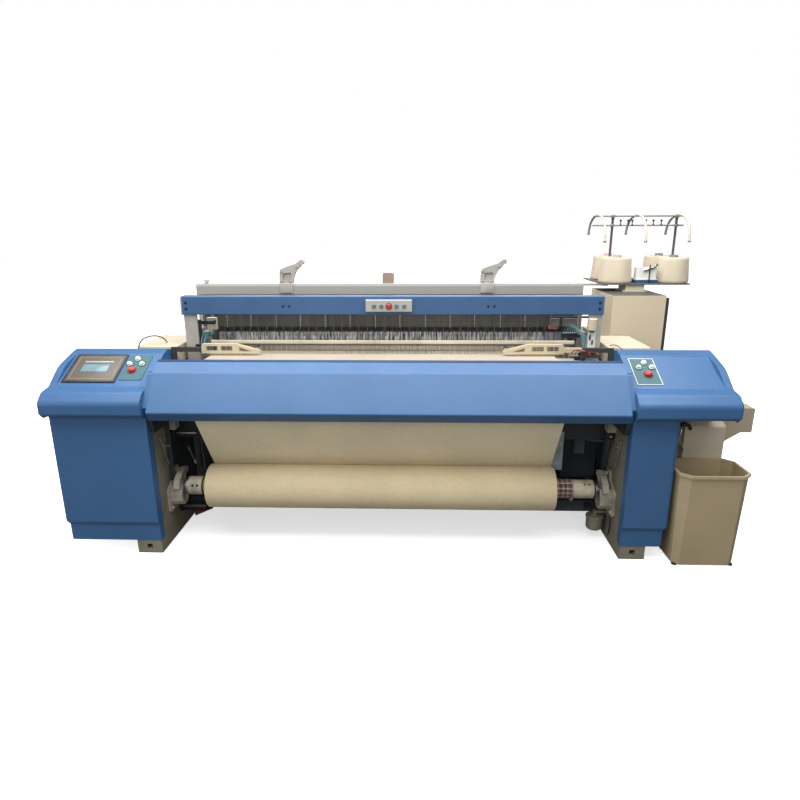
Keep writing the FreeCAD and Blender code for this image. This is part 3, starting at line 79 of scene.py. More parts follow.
# ---------------------------------------------------------------- places
@dataclass(frozen=True)
class Datum:
    """Turns loom millimetres into the row frame.

    Attributes:
        centre: X of the loom's centre line in the row frame, in metres.
        breast: Y of the front cover's breast edge in the row frame, in metres.
    """

    centre: float
    breast: float

    WARP_BEAM_Y = 1280.0

    @classmethod
    def from_frame(cls) -> "Datum":
        """Reads the datum off the warp beam, whose place on the loom is known."""
        low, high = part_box("warp_beam")
        middle = (low + high) / 2
        return cls(middle.x, middle.y - cls.WARP_BEAM_Y * MM)

    def at(self, x: float, y: float, z: float) -> Vector:
        """Gives the row-frame place of a point in loom millimetres.

        Args:
            x: Millimetres to the weaver's right of the centre line.
            y: Millimetres behind the breast edge.
            z: Millimetres above the floor.

        Returns:
            The point in metres.
        """
        return Vector((self.centre + x * MM, self.breast + y * MM, z * MM))


LOOM = Datum.from_frame()


# ---------------------------------------------------------------- finishes
class Pattern(Enum):
    """What kind of fine relief a finish carries."""

    PAINT = "paint"
    CAST = "cast"
    BRUSHED = "brushed"
    WEAVE = "weave"
    THREADS_X = "threads_x"
    CROSS_WOUND = "cross_wound"
    CHECK = "check"
    PLASTIC = "plastic"


@dataclass(frozen=True)
class Finish:
    """One procedural surface.

    Attributes:
        colour: Linear base colour.
        roughness: Mean roughness.
        metallic: Metallic share.
        drift: Share by which brightness wanders over the surface.
        drift_scale: Patches per metre of that wandering.
        bump: Strength of the fine relief.
        grain: Scale of the fine relief.
        dirt: Share of grime in the low patches.
        dirt_colour: Linear colour of the grime.
        coat: Weight of a clear coat.
        sheen: Weight of a fabric's sheen.
        pattern: Kind of fine relief.
        glow: Strength of light given off, for a lit screen.
    """

    colour: RGB
    roughness: float = 0.4
    metallic: float = 0.0
    drift: float = 0.08
    drift_scale: float = 3.0
    bump: float = 0.05
    grain: float = 240.0
    dirt: float = 0.0
    dirt_colour: RGB = (0.06, 0.05, 0.035)
    coat: float = 0.0
    sheen: float = 0.0
    pattern: Pattern = Pattern.PAINT
    glow: float = 0.0


class NodeTree:
    """Small builder for a material's nodes."""

    def __init__(self, name: str) -> None:
        self.material = bpy.data.materials.new(name)
        self.material.use_nodes = True
        self.nodes = self.material.node_tree.nodes
        self.links = self.material.node_tree.links
        self.shader = self.nodes["Principled BSDF"]

    def add(self, kind: str, **settings: object) -> bpy.types.Node:
        """Adds a node and sets its properties.

        Args:
            kind: The node's type name.
            **settings: Properties of the node.

        Returns:
            The new node.
        """
        node = self.nodes.new(kind)
        for key, value in settings.items():
            setattr(node, key, value)
        return node

    def join(self, source: Socket, target: Socket) -> None:
        """Links an output to an input."""
        self.links.new(source, target)

    def place(self) -> Socket:
        """Gives the object coordinates."""
        return self.add("ShaderNodeTexCoord").outputs["Object"]

    def parts(self, vector: Socket) -> list[Socket]:
        """Gives a vector's three parts."""
        node = self.add("ShaderNodeSeparateXYZ")
        self.join(vector, node.inputs[0])
        return list(node.outputs)

    def stretch(self, place: Socket, scale: RGB) -> Socket:
        """Scales the coordinates along each axis."""
        node = self.add("ShaderNodeMapping")
        node.inputs["Scale"].default_value = scale
        self.join(place, node.inputs["Vector"])
        return node.outputs["Vector"]

    def roughen(self, place: Socket, scale: float, detail: float, low: float,
                high: float) -> None:
        """Lets the roughness wander between two values."""
        rough = self.span(self.noise(place, scale, detail), 0.3, 0.7, low, high)
        self.join(rough, self.shader.inputs["Roughness"])

    def emboss(self, height: Socket, strength: float) -> None:
        """Turns a height into fine relief."""
        bump = self.add("ShaderNodeBump")
        bump.inputs["Strength"].default_value = strength
        bump.inputs["Distance"].default_value = MM
        self.join(height, bump.inputs["Height"])
        self.join(bump.outputs["Normal"], self.shader.inputs["Normal"])

    def noise(self, vector: Socket, scale: float, detail: float) -> Socket:
        """Gives the value of a noise texture on a vector."""
        node = self.add("ShaderNodeTexNoise")
        node.inputs["Scale"].default_value = scale
        node.inputs["Detail"].default_value = detail
        self.join(vector, node.inputs["Vector"])
        return node.outputs["Fac"]

    def wave(self, vector: Socket, axis: str, scale: float,
             distortion: float) -> Socket:
        """Gives the value of sine bands across one axis."""
        node = self.add("ShaderNodeTexWave", wave_type="BANDS", bands_direction=axis)
        node.inputs["Scale"].default_value = scale
        node.inputs["Distortion"].default_value = distortion
        node.inputs["Detail"].default_value = 1.0
        self.join(vector, node.inputs["Vector"])
        return node.outputs["Fac"]

    def span(self, value: Socket, low: float, high: float, to_low: float,
             to_high: float) -> Socket:
        """Maps a value from one range to another, clamped."""
        node = self.add("ShaderNodeMapRange")
        for key, number in (("From Min", low), ("From Max", high), ("To Min", to_low),
                            ("To Max", to_high)):
            node.inputs[key].default_value = number
        self.join(value, node.inputs["Value"])
        return node.outputs["Result"]

    def maths(self, operation: str, a: object, b: object = 0.0) -> Socket:
        """Gives the result of a sum on two sockets or numbers."""
        node = self.add("ShaderNodeMath", operation=operation)
        for index, value in enumerate((a, b)):
            if isinstance(value, Socket):
                self.join(value, node.inputs[index])
            else:
                node.inputs[index].default_value = float(value)
        return node.outputs["Value"]

    def mix(self, share: object, a: object, b: object, blend: str = "MIX") -> Socket:
        """Mixes two colours, each a socket or a linear colour."""
        node = self.add("ShaderNodeMix", data_type="RGBA", blend_type=blend)
        if isinstance(share, Socket):
            self.join(share, node.inputs[0])
        else:
            node.inputs[0].default_value = float(share)
        for index, value in ((6, a), (7, b)):
            if isinstance(value, Socket):
                self.join(value, node.inputs[index])
            else:
                node.inputs[index].default_value = (*value, 1.0)
        return node.outputs[2]


plastic = partial(Finish, pattern=Pattern.PLASTIC)
cast = partial(Finish, pattern=Pattern.CAST)
brushed = partial(Finish, pattern=Pattern.BRUSHED)
woven = partial(Finish, pattern=Pattern.WEAVE)


class Surface(Enum):
    """Every finish on the loom."""

    BLUE = Finish((0.045, 0.132, 0.295), 0.42, drift=0.05, dirt=0.05, coat=0.06, bump=0.02)
    BLUE_BEAM = Finish((0.050, 0.118, 0.258), 0.45, drift=0.06, dirt=0.08, bump=0.02)
    NAVY = Finish((0.015, 0.045, 0.13), 0.5, drift=0.1)
    CREAM = Finish((0.62, 0.55, 0.42), 0.45, drift=0.05, dirt=0.06, bump=0.02)
    CABINET = Finish((0.66, 0.58, 0.44), 0.45, drift=0.06, dirt=0.08, bump=0.02)
    CASTING = cast((0.25, 0.228, 0.172), 0.55, drift=0.14, dirt=0.30, bump=0.22, grain=160.0)
    GREY_CASTING = cast((0.42, 0.40, 0.36), 0.5, drift=0.16, dirt=0.25, bump=0.25, grain=150.0)
    DARK = Finish((0.035, 0.037, 0.042), 0.5, drift=0.2, dirt=0.15, bump=0.12)
    BLACK = plastic((0.012, 0.012, 0.013), 0.42, drift=0.2, bump=0.08)
    STEEL = brushed((0.52, 0.51, 0.49), 0.32, metallic=0.9, drift=0.12, dirt=0.12, bump=0.06)
    BRIGHT = brushed((0.72, 0.72, 0.72), 0.2, metallic=1.0, drift=0.05, bump=0.02)
    ALLOY = brushed((0.50, 0.50, 0.50), 0.38, metallic=0.75, drift=0.1, dirt=0.12, bump=0.06)
    REED = brushed((0.66, 0.59, 0.47), 0.45, metallic=0.1, drift=0.15, dirt=0.2)
    RUBBER = cast((0.035, 0.033, 0.03), 0.8, drift=0.2, bump=0.35, grain=420.0)
    BEZEL = plastic((0.03, 0.03, 0.033), 0.3, drift=0.1)
    PANEL_BROWN = plastic((0.125, 0.112, 0.095), 0.4, drift=0.05)
    GOLD_LINE = plastic((0.33, 0.24, 0.13), 0.4, drift=0.05)
    SCREEN = plastic((0.17, 0.27, 0.31), 0.15, drift=0.08, drift_scale=30.0, glow=0.10)
    TEAL = Finish((0.040, 0.125, 0.150), 0.4, drift=0.06, dirt=0.05, bump=0.02)
    GREY_PLATE = plastic((0.43, 0.43, 0.415), 0.42, drift=0.06, dirt=0.08)
    WHITE = plastic((0.80, 0.82, 0.76), 0.3, drift=0.04)
    PALE_GREEN = plastic((0.42, 0.62, 0.42), 0.3, drift=0.05)
    OLIVE = plastic((0.16, 0.17, 0.11), 0.35, drift=0.08)
    RED = plastic((0.50, 0.040, 0.040), 0.3, drift=0.05)
    SIGNAL = plastic((0.37, 0.255, 0.20), 0.4, drift=0.06, dirt=0.05)
    BIN = plastic((0.48, 0.385, 0.235), 0.45, drift=0.05, dirt=0.06, bump=0.03, grain=500.0)
    CLOTH = woven((0.86, 0.765, 0.54), 0.9, drift=0.05, bump=0.25, sheen=0.2)
    WARP = Finish((0.72, 0.67, 0.56), 0.85, drift=0.06, bump=0.5, sheen=0.2,
                  pattern=Pattern.THREADS_X)
    THREAD = Finish((0.80, 0.76, 0.66), 0.8, drift=0.08, sheen=0.2)
    SHADED_THREAD = Finish((0.46, 0.40, 0.29), 0.8, drift=0.10, sheen=0.1)
    # Darker copy of the cloth: painted shade for the flat top of the cloth sheet.
    SHADED_CLOTH_TOP = woven((0.42, 0.365, 0.29), 0.9, drift=0.06, bump=0.25, sheen=0.1)
    YARN = Finish((0.69, 0.60, 0.455), 0.9, drift=0.05, bump=0.5, sheen=0.2,
                  pattern=Pattern.CROSS_WOUND)
    CORE = plastic((0.60, 0.33, 0.28), 0.7, drift=0.08)
    TEAL_HOSE = plastic((0.10, 0.28, 0.32), 0.3, drift=0.1)
    BLUE_HOSE = plastic((0.20, 0.42, 0.50), 0.3, drift=0.1)
    BROWN_HOSE = plastic((0.16, 0.075, 0.04), 0.45, drift=0.1)
    CREAM_TUBE = Finish((0.66, 0.60, 0.49), 0.35, drift=0.06, dirt=0.05)
    PLASTIC_WRAP = Finish((0.40, 0.46, 0.50), 0.22, drift=0.3, drift_scale=14.0, bump=0.2,
                          grain=50.0)
    MAROON = woven((0.10, 0.014, 0.020), 0.85, drift=0.2, bump=0.3, sheen=0.3)
    HEALD = brushed((0.16, 0.155, 0.15), 0.4, metallic=0.4, drift=0.3, drift_scale=6.0, bump=0.04)
    DENT = brushed((0.40, 0.335, 0.25), 0.5, metallic=0.1, drift=0.12)
    CLOTH_ROLL = woven((0.80, 0.665, 0.425), 0.85, drift=0.06, bump=0.2, sheen=0.2)
    GREY_CORE = plastic((0.22, 0.20, 0.18), 0.6, drift=0.1)
    CREEL_STEEL = brushed((0.13, 0.12, 0.115), 0.35, metallic=0.5, drift=0.15, dirt=0.1)
    CREEL_GREY = Finish((0.30, 0.28, 0.25), 0.4, metallic=0.3, drift=0.15, dirt=0.1)
    FEEDER_BLUE = plastic((0.03, 0.08, 0.20), 0.4, drift=0.08)
    WORN_TUBE = cast((0.62, 0.54, 0.41), 0.55, drift=0.15, drift_scale=20.0, dirt=0.6,
                     dirt_colour=(0.13, 0.09, 0.05), bump=0.12, grain=90.0)
    DEEP_TEAL = plastic((0.01, 0.10, 0.14), 0.3, drift=0.1)
    SLATE_HOSE = plastic((0.06, 0.085, 0.12), 0.35, drift=0.12)
    BLACK_HOSE = plastic((0.012, 0.012, 0.014), 0.4, drift=0.1)
    DARK_BLUE = cast((0.012, 0.02, 0.034), 0.5, drift=0.25, dirt=0.3, bump=0.2, grain=150.0)
    SLATE = Finish((0.035, 0.045, 0.055), 0.55, drift=0.2, dirt=0.2, bump=0.06)
    SCREEN_BROWN = Finish((0.105, 0.098, 0.090), 0.6, drift=0.25, drift_scale=5.0, dirt=0.25,
                          bump=0.05)
    GREY_SCREW = brushed((0.30, 0.33, 0.36), 0.4, metallic=0.6, drift=0.1)
    CHECK = Finish((0.25, 0.155, 0.12), 0.85, drift=0.15, drift_scale=60.0, bump=0.3,
                   pattern=Pattern.CHECK)
    WORN_CAST = cast((0.46, 0.42, 0.335), 0.5, drift=0.2, dirt=0.5, dirt_colour=(0.06, 0.05, 0.035),
                     bump=0.25, grain=150.0)
    BOX_GREY = Finish((0.165, 0.165, 0.150), 0.45, drift=0.12, dirt=0.15, bump=0.03)
    SHADED_CREAM = Finish((0.49, 0.42, 0.305), 0.45, drift=0.06, dirt=0.08, bump=0.02)
    GREEN = plastic((0.03, 0.16, 0.07), 0.35, drift=0.06)
    MAROON_HOSE = plastic((0.24, 0.03, 0.035), 0.4, drift=0.1)
    DARK_RED = plastic((0.30, 0.02, 0.018), 0.35, drift=0.06)
    PINK = plastic((0.50, 0.16, 0.15), 0.5, drift=0.15)
    ROPE = woven((0.55, 0.45, 0.30), 0.9, drift=0.2, bump=0.4, sheen=0.2)
    SLATE_BLUE = cast((0.075, 0.098, 0.118), 0.55, drift=0.25, dirt=0.3, bump=0.1)


class Palette:
    """Builds each surface's material once and hands it out."""

    def __init__(self) -> None:
        self._made: dict[tuple[str, tuple[float, float]], Material] = {}

    def material(self, surface: Surface, centre: YZ = (0.0, 0.0)) -> Material:
        """Gives the material of a surface.

        Args:
            surface: Which finish.
            centre: Axis of a wound package, in metres, for finishes that wind round one.

        Returns:
            The material.
        """
        key = (surface.name, centre)
        if key not in self._made:
            self._made[key] = self._build(surface, centre)
        return self._made[key]

    def _build(self, surface: Surface, centre: YZ) -> Material:
        finish = surface.value
        tree = NodeTree(surface.name.lower())
        place = tree.place()
        drift = tree.noise(place, finish.drift_scale, 3.0)
        shade = tree.span(drift, 0.3, 0.7, 1.0 - finish.drift, 1.0 + finish.drift)
        grey = tree.add("ShaderNodeCombineColor")
        for socket in grey.inputs:
            tree.join(shade, socket)
        colour = tree.mix(1.0, finish.colour, grey.outputs[0], "MULTIPLY")
        relief, tone_and_groove_shade = self._relief(tree, place, finish, centre)
        if tone_and_groove_shade is not None:
            # Darken by that share: random tone on weaves, painted shade in the grooves of threads
            # and wound yarn.
            colour = tree.mix(tone_and_groove_shade, colour, tuple(c * 0.72 for c in finish.colour))
        if finish.pattern is Pattern.CHECK:
            colour = self._check(tree, place, colour)
        if finish.dirt > 0:
            grime = tree.span(tree.noise(place, 9.0, 6.0), 0.48, 0.72, 0.0, finish.dirt)
            colour = tree.mix(grime, colour, finish.dirt_colour)
        tree.join(colour, tree.shader.inputs["Base Color"])
        tree.roughen(place, 14.0, 4.0, finish.roughness - 0.05, finish.roughness + 0.07)
        for socket, value in (("Metallic", finish.metallic), ("Coat Weight", finish.coat),
                              ("Coat Roughness", 0.15), ("Sheen Weight", finish.sheen)):
            tree.shader.inputs[socket].default_value = value
        if finish.glow > 0:
            tree.shader.inputs["Emission Color"].default_value = (*finish.colour, 1.0)
            tree.shader.inputs["Emission Strength"].default_value = finish.glow
        tree.emboss(relief, finish.bump)
        return tree.material

    @staticmethod
    def _relief(tree: NodeTree, place: Socket, finish: Finish,
                centre: YZ) -> tuple[Socket, Optional[Socket]]:
        """Gives the height of the fine relief and where the colour darkens: random tone on weaves,
        painted shade in the grooves of threads and wound yarn.
        """
        pattern = finish.pattern
        if pattern in (Pattern.WEAVE, Pattern.CHECK):
            cross = tree.maths("MULTIPLY", *(tree.wave(place, axis, 190.0, 0.6) for axis in "XZ"))
            return cross, tree.span(tree.noise(place, 60.0, 2.0), 0.5, 0.75, 0.0, 0.3)
        if pattern is Pattern.THREADS_X:
            bands = tree.wave(place, "X", 130.0, 0.8)
            # Painted shade in the grooves between the threads.
            return bands, tree.span(bands, 0.0, 0.35, 0.55, 0.0)
        if pattern is Pattern.CROSS_WOUND:
            return Palette._cross_wound(tree, place, centre)
        if pattern is Pattern.BRUSHED:
            return tree.noise(tree.stretch(place, (4.0, 90.0, 90.0)), 6.0, 2.0), None
        return tree.noise(place, finish.grain, 3.0), None

    @staticmethod
    def _check(tree: NodeTree, place: Socket, ground: Socket) -> Socket:
        """Crosses broad dark stripes and thin pale lines over a ground colour."""
        for axis, shift in (("X", 0.0), ("Z", 0.3)):
            broad = tree.wave(place, axis, 11.0, 0.4)
            ground = tree.mix(tree.span(broad, 0.62, 0.7, 0.0, 0.55), ground, (0.05, 0.03, 0.03))
            thin = tree.wave(place, axis, 13.0 + shift, 0.3)
            ground = tree.mix(tree.span(thin, 0.955, 0.975, 0.0, 0.8), ground, (0.62, 0.56, 0.50))
        return ground

    @staticmethod
    def _cross_wound(tree: NodeTree, place: Socket, centre: YZ) -> tuple[Socket, Socket]:
        """Two families of helices round an upright axis, as on a yarn package, with painted shade
        in the grooves between them.
        """
        x, y, z = tree.parts(place)
        around = tree.maths("ARCTAN2", tree.maths("SUBTRACT", y, centre[1]),
                            tree.maths("SUBTRACT", x, centre[0]))
        climb = tree.maths("MULTIPLY", z, 900.0)
        waves = []
        for turns in (3.0, -3.0):
            phase = tree.maths("ADD", climb, tree.maths("MULTIPLY", around, turns))
            waves.append(tree.maths("SINE", phase))
        height = tree.maths("MAXIMUM", waves[0], waves[1])
        # Painted shade in the grooves between the turns.
        return height, tree.span(height, -0.2, 0.6, 0.35, 0.0)


PALETTE = Palette()

NODE_SURFACES: dict[Surface, tuple[str, ...]] = {
    Surface.BLUE: ("front_cover", "head_cover_left", "head_cover_right", "leg_cover_left",
                   "leg_cover_right"),
    Surface.BLUE_BEAM: ("harness_beam",),
    Surface.CREAM: ("deck_covers", "waste_chute"),
    Surface.SHADED_CREAM: ("drive_cover",),
    Surface.CASTING: ("side_frame_left", "side_frame_right"),
    Surface.WORN_CAST: ("roll_brackets", "roll_latch_left", "roll_latch_right"),
    Surface.GREY_CASTING: ("beam_posts", "rail_brackets"),
    Surface.DARK: ("cross_stays", "stop_motion", "cabinet_door"),
    Surface.CLOTH: ("cloth", "cloth_roll"),
    Surface.WARP: ("warp_sheet", "warp_yarn"),
    Surface.YARN: ("yarn_cones",),
    Surface.STEEL: ("cloth_bars", "cloth_beam", "back_rest_roller"),
    Surface.ALLOY: ("sley", "warp_beam"),
    Surface.REED: ("reed",),
    Surface.RUBBER: ("take_up_roller", "press_roller"),
    Surface.BEZEL: ("display_unit",),
    Surface.TEAL: ("button_plates",),
    Surface.GREY_PLATE: ("beam_button_box",),
    Surface.WHITE: ("panel_button_left_1", "panel_button_left_2", "panel_button_right_1",
                    "panel_button_right_3", "weft_feeder"),
    Surface.PALE_GREEN: ("panel_button_left_3", "panel_button_right_2"),
    Surface.OLIVE: ("beam_button_1", "beam_button_2", "beam_button_4", "beam_button_5"),
    Surface.RED: ("stop_button_left", "stop_button_right", "beam_stop_button"),
    Surface.SIGNAL: ("signal_lamp",),
    Surface.BIN: ("waste_bin",),
    Surface.CREAM_TUBE: ("creel_guides",),
    Surface.BRIGHT: ("main_nozzle",),
}


class Split(Enum):
    """What divides the two colours of a part."""

    TOP_FACES = "faces that look up"
    HEIGHT = "height"
    SIDEWAYS = "distance from the loom's middle"


@dataclass(frozen=True)
class TwoTone:
    """Paint in two colours on one part, or painted shade below a border, as on the breast brackets.

    Attributes:
        name: The material's name.
        first: Colour below the border.
        second: Colour above it.
        split: What is compared with the border.
        border: The border, in metres, or as the upward share of the normal.
    """

    name: str
    first: RGB
    second: RGB
    split: Split
    border: float

    def material(self) -> Material:
        """Builds the two-tone paint."""
        tree = NodeTree(self.name)
        coords = tree.add("ShaderNodeTexCoord").outputs
        place = coords["Object"]
        x, _, value = tree.parts(coords["Normal"] if self.split is Split.TOP_FACES else place)
        if self.split is Split.SIDEWAYS:
            value = tree.maths("ABSOLUTE", tree.maths("SUBTRACT", x, LOOM.centre))
        share = tree.span(value, self.border, self.border + 0.001, 0.0, 1.0)
        shade = tree.span(tree.noise(place, 2.0, 3.0), 0.3, 0.7, 0.0, 0.12)
        first = tree.mix(shade, self.first, tuple(c * 0.8 for c in self.first))
        second = tree.mix(shade, self.second, tuple(c * 0.6 for c in self.second))
        tree.join(tree.mix(share, first, second), tree.shader.inputs["Base Color"])
        tree.roughen(place, 20.0, 4.0, 0.38, 0.5)
        tree.emboss(tree.noise(place, 300.0, 2.0), 0.05)
        return tree.material


TWO_TONE: dict[str, TwoTone] = {
    "heald_frames_odd": TwoTone("front_heald_frames", (0.15, 0.145, 0.14), (0.42, 0.42, 0.41),
                                Split.HEIGHT, 1.2335),
    "heald_frames_even": TwoTone("rear_heald_frames", (0.13, 0.125, 0.12), (0.38, 0.38, 0.37),
                                 Split.HEIGHT, 1.2335),
    "control_cabinet": TwoTone("cabinet_paint", (0.65, 0.56, 0.41), (0.10, 0.095, 0.085),
                               Split.TOP_FACES, 0.5),
    "creel_stand": TwoTone("creel_stand_paint", (0.62, 0.55, 0.42), (0.13, 0.12, 0.11),
                           Split.HEIGHT, 1.3605),
    "rear_rail": TwoTone("rail_paint", (0.345, 0.335, 0.31), (0.53, 0.535, 0.495),
                         Split.HEIGHT, 1.384),
    # Breast brackets: dark below the front cover's lip as painted shade under the cover, blue
    # above.
    "breast_brackets": TwoTone("bracket_paint_shaded_below_cover", (0.030, 0.036, 0.042), (0.045, 0.132, 0.295),
                               Split.HEIGHT, 0.776),
    "temples": TwoTone("temple_paint", (0.62, 0.53, 0.36), (0.05, 0.048, 0.045),
                       Split.SIDEWAYS, 1.071),
}


@dataclass(frozen=True)
class HealdSteel:
    """Heald steel: soiled above, black at the eyes' guide line and, below it, worn steel in
    near-white streaks that are partly painted highlight.

    Attributes:
        name: The material's name.
        soiled: Colour above the dark band.
        wear_and_glint: Colour of the streaks below it, worn steel brightened as a painted
            highlight.
        streak: Where the streaks of the lower part begin and end, as values of the noise.
    """

    name: str
    soiled: RGB
    wear_and_glint: RGB
    streak: tuple[float, float] = (0.40, 0.58)

    BLACK: RGB = (0.018, 0.020, 0.028)
    BAND = (1.117, 1.147)

    def material(self) -> Material:
        """Builds the steel."""
        tree = NodeTree(self.name)
        place = tree.place()
        height = tree.parts(place)[2]
        streaks = tree.noise(tree.stretch(place, (120.0, 1.0, 9.0)), 1.0, 2.0)
        # Near-white streaks below the band: wear, brightened into a painted highlight of light
        # glinting on the wires.
        bright = tree.mix(tree.span(streaks, *self.streak, 0.0, 1.0), self.BLACK, self.wear_and_glint)
        low, high = self.BAND
        lower = tree.mix(tree.span(height, low, low + 0.002, 0.0, 1.0), bright, self.BLACK)
        dulled = tree.mix(tree.span(tree.noise(place, 7.0, 3.0), 0.3, 0.7, 0.0, 0.45), self.soiled,
                          tuple(c * 0.45 for c in self.soiled))
        colour = tree.mix(tree.span(height, high, high + 0.004, 0.0, 1.0), lower, dulled)
        tree.join(colour, tree.shader.inputs["Base Color"])
        tree.roughen(place, 40.0, 3.0, 0.32, 0.5)
        tree.shader.inputs["Metallic"].default_value = 0.25
        return tree.material


class CadFinishes:
    """Paints every CAD node."""

    def apply(self) -> None:
        """Puts each node's material on its mesh."""
        for surface, nodes in NODE_SURFACES.items():
            for name in nodes:
                self._paint(name, PALETTE.material(surface))
        for name, paint in TWO_TONE.items():
            self._paint(name, paint.material())
        LOG.info("cad finishes: %d nodes", len(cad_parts))

    @staticmethod
    def _paint(name: str, material: Material) -> None:
        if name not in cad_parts:
            LOG.warning("no node named %s", name)
            return
        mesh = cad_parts[name].data
        mesh.materials.clear()
        mesh.materials.append(material)


# ---------------------------------------------------------------- modelling
class Bench:
    """Models pieces with Blender's operators, each left at the origin, unturned and unscaled."""

    SMOOTH_ANGLE = math.radians(35.0)

    @staticmethod
    def clear() -> None:
        """Deselects everything."""
        bpy.ops.object.select_all(action="DESELECT")

    @classmethod
    def take(cls, piece: Piece) -> None:
        """Makes a piece the only one selected, and the active one."""
        cls.clear()
        piece.select_set(True)
        bpy.context.view_layer.objects.active = piece

    @classmethod
    def finish(cls, name: str, surface: Surface, body: str = "root",
               material: Optional[Material] = None) -> Piece:
        """Names, shades, paints and mounts the active object.

        Args:
            name: The piece's name.
            surface: Its finish.
            body: CAD body that it moves with, or "" for none yet.
            material: A material to use in place of the surface's own.

        Returns:
            The finished object.
        """
        piece = bpy.context.object
        piece.name = name
        piece.data.name = name
        bpy.ops.object.transform_apply(location=True, rotation=True, scale=True)
        bpy.ops.object.shade_smooth_by_angle(angle=cls.SMOOTH_ANGLE)
        piece.data.materials.clear()
        piece.data.materials.append(material or PALETTE.material(surface))
        if body:
            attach(piece, body)
        LOG.info("%s: %d faces", name, len(piece.data.polygons))
        return piece

    @classmethod
    def cube(cls, low: Vector, high: Vector, settled: bool) -> Piece:
        """Adds a sharp box between two corners, as a start, its origin left in it or settled."""
        cls.clear()
        bpy.ops.mesh.primitive_cube_add(size=1.0, location=(low + high) / 2)
        piece = bpy.context.object
        piece.scale = high - low
        bpy.ops.object.transform_apply(location=settled, rotation=False, scale=True)
        return piece

    @classmethod
    def block(cls, low: Vector, high: Vector, bevel: float = 1.5, segments: int = 2) -> Piece:
        """Adds a box between two corners and rounds its edges.

        Args:
            low: Lowest corner, in metres.
            high: Highest corner, in metres.
            bevel: Width of the rounding in millimetres.
            segments: Steps of the rounding.

        Returns:
            The object, selected and active.
        """
        piece = cls.cube(low, high, False)
        bpy.ops.object.mode_set(mode="EDIT")
        bpy.ops.mesh.select_all(action="SELECT")
        bpy.ops.mesh.bevel(offset=bevel * MM, segments=segments, affect="EDGES")
        bpy.ops.object.mode_set(mode="OBJECT")
        return piece

    @classmethod
    def lathe(cls, profile: Profile, segments: int = 32,
              cap: bool = True) -> Piece:
        """Builds a turned piece upright at the origin by extruding and resizing a circle.

        Args:
            profile: Radius and height pairs in millimetres, from the bottom up.
            segments: Sides of the circle.
            cap: Whether the first and last rings are closed.

        Returns:
            The object, selected and active.
        """
        cls.clear()
        radius, height = profile[0]
        bpy.ops.mesh.primitive_circle_add(vertices=segments, radius=radius * MM,
                                          fill_type="NGON" if cap else "NOTHING",
                                          location=(0, 0, height * MM))
        piece = bpy.context.object
        bpy.ops.object.transform_apply(location=True, rotation=False, scale=False)
        bpy.ops.object.mode_set(mode="EDIT")
        bpy.ops.mesh.select_mode(type="VERT")
        bpy.ops.mesh.select_all(action="SELECT")
        for next_radius, next_height in profile[1:]:
            bpy.ops.mesh.extrude_region_move(
                TRANSFORM_OT_translate={"value": (0, 0, (next_height - height) * MM)})
            share = next_radius / radius
            bpy.ops.transform.resize(value=(share, share, 1.0), center_override=(0, 0, 0))
            radius, height = next_radius, next_height
        bpy.ops.mesh.select_all(action="SELECT")
        bpy.ops.mesh.normals_make_consistent(inside=False)
        bpy.ops.object.mode_set(mode="OBJECT")
        return piece

    @classmethod
    def pick(cls, piece: Piece, test: FaceTest) -> None:
        """Selects a piece's faces by their middle and normal, and enters edit mode.

        Args:
            piece: The piece, unturned at the origin.
            test: Tells from a face's middle and normal whether it is wanted.
        """
        cls.take(piece)
        bpy.ops.object.mode_set(mode="EDIT")
        bpy.ops.mesh.select_mode(type="FACE")
        bpy.ops.mesh.select_all(action="DESELECT")
        bpy.ops.object.mode_set(mode="OBJECT")
        for face in piece.data.polygons:
            face.select = test(face.center, face.normal)
        bpy.ops.object.mode_set(mode="EDIT")

    @classmethod
    def bar(cls, low: Vector, high: Vector, cuts: Planes = ()) -> Piece:
        """Adds a plain flat bar, cut across by planes, as the start of a repeated small piece.

        Args:
            low: Lowest corner, in metres.
            high: Highest corner, in metres.
            cuts: Point and normal of each plane that divides its faces.

        Returns:
            The object, selected and active.
        """
        return cls.slice(cls.cube(low, high, True), cuts)

    @classmethod
    def slot_through(cls, piece: Piece, test: FaceTest, margin: float) -> None:
        """Opens a slot between two facing faces by insetting both and bridging the insets.

        Args:
            piece: The piece to open.
            test: Picks the two faces.
            margin: Millimetres left round the slot.
        """
        cls.pick(piece, test)
        bpy.ops.mesh.inset(thickness=margin * MM, depth=0.0, use_individual=True)
        bpy.ops.mesh.bridge_edge_loops()
        bpy.ops.object.mode_set(mode="OBJECT")

    @classmethod
    def panel_box(cls, low: Vector, high: Vector, margin: float = 5.0, sink: float = -1.5,
                  bevel: float = 2.0) -> Piece:
        """Adds a rounded box whose faces towards the weaver and outwards carry a sunk panel.

        Args:
            low: Lowest corner, in metres.
            high: Highest corner, in metres.
            margin: Millimetres of rim round the panel.
            sink: Millimetres that the panel stands out, negative for in.
            bevel: Rounding of the edges in millimetres.

        Returns:
            The object, selected and active.
        """
        piece = cls.block(low, high, bevel)
        bpy.ops.object.transform_apply(location=True, rotation=True, scale=True)
        cls.pick(piece, lambda centre, normal: normal.y < -0.99 or abs(normal.x) > 0.99)
        bpy.ops.mesh.inset(thickness=margin * MM, depth=sink * MM, use_individual=True)
        bpy.ops.object.mode_set(mode="OBJECT")
        return piece

    @classmethod
    def weld(cls, piece: Piece) -> Piece:
        """Merges a piece's doubled corners and turns its faces outwards."""
        cls.take(piece)
        bpy.ops.object.mode_set(mode="EDIT")
        bpy.ops.mesh.select_all(action="SELECT")
        bpy.ops.mesh.remove_doubles(threshold=0.00001)
        bpy.ops.mesh.normals_make_consistent(inside=False)
        bpy.ops.object.mode_set(mode="OBJECT")
        return piece

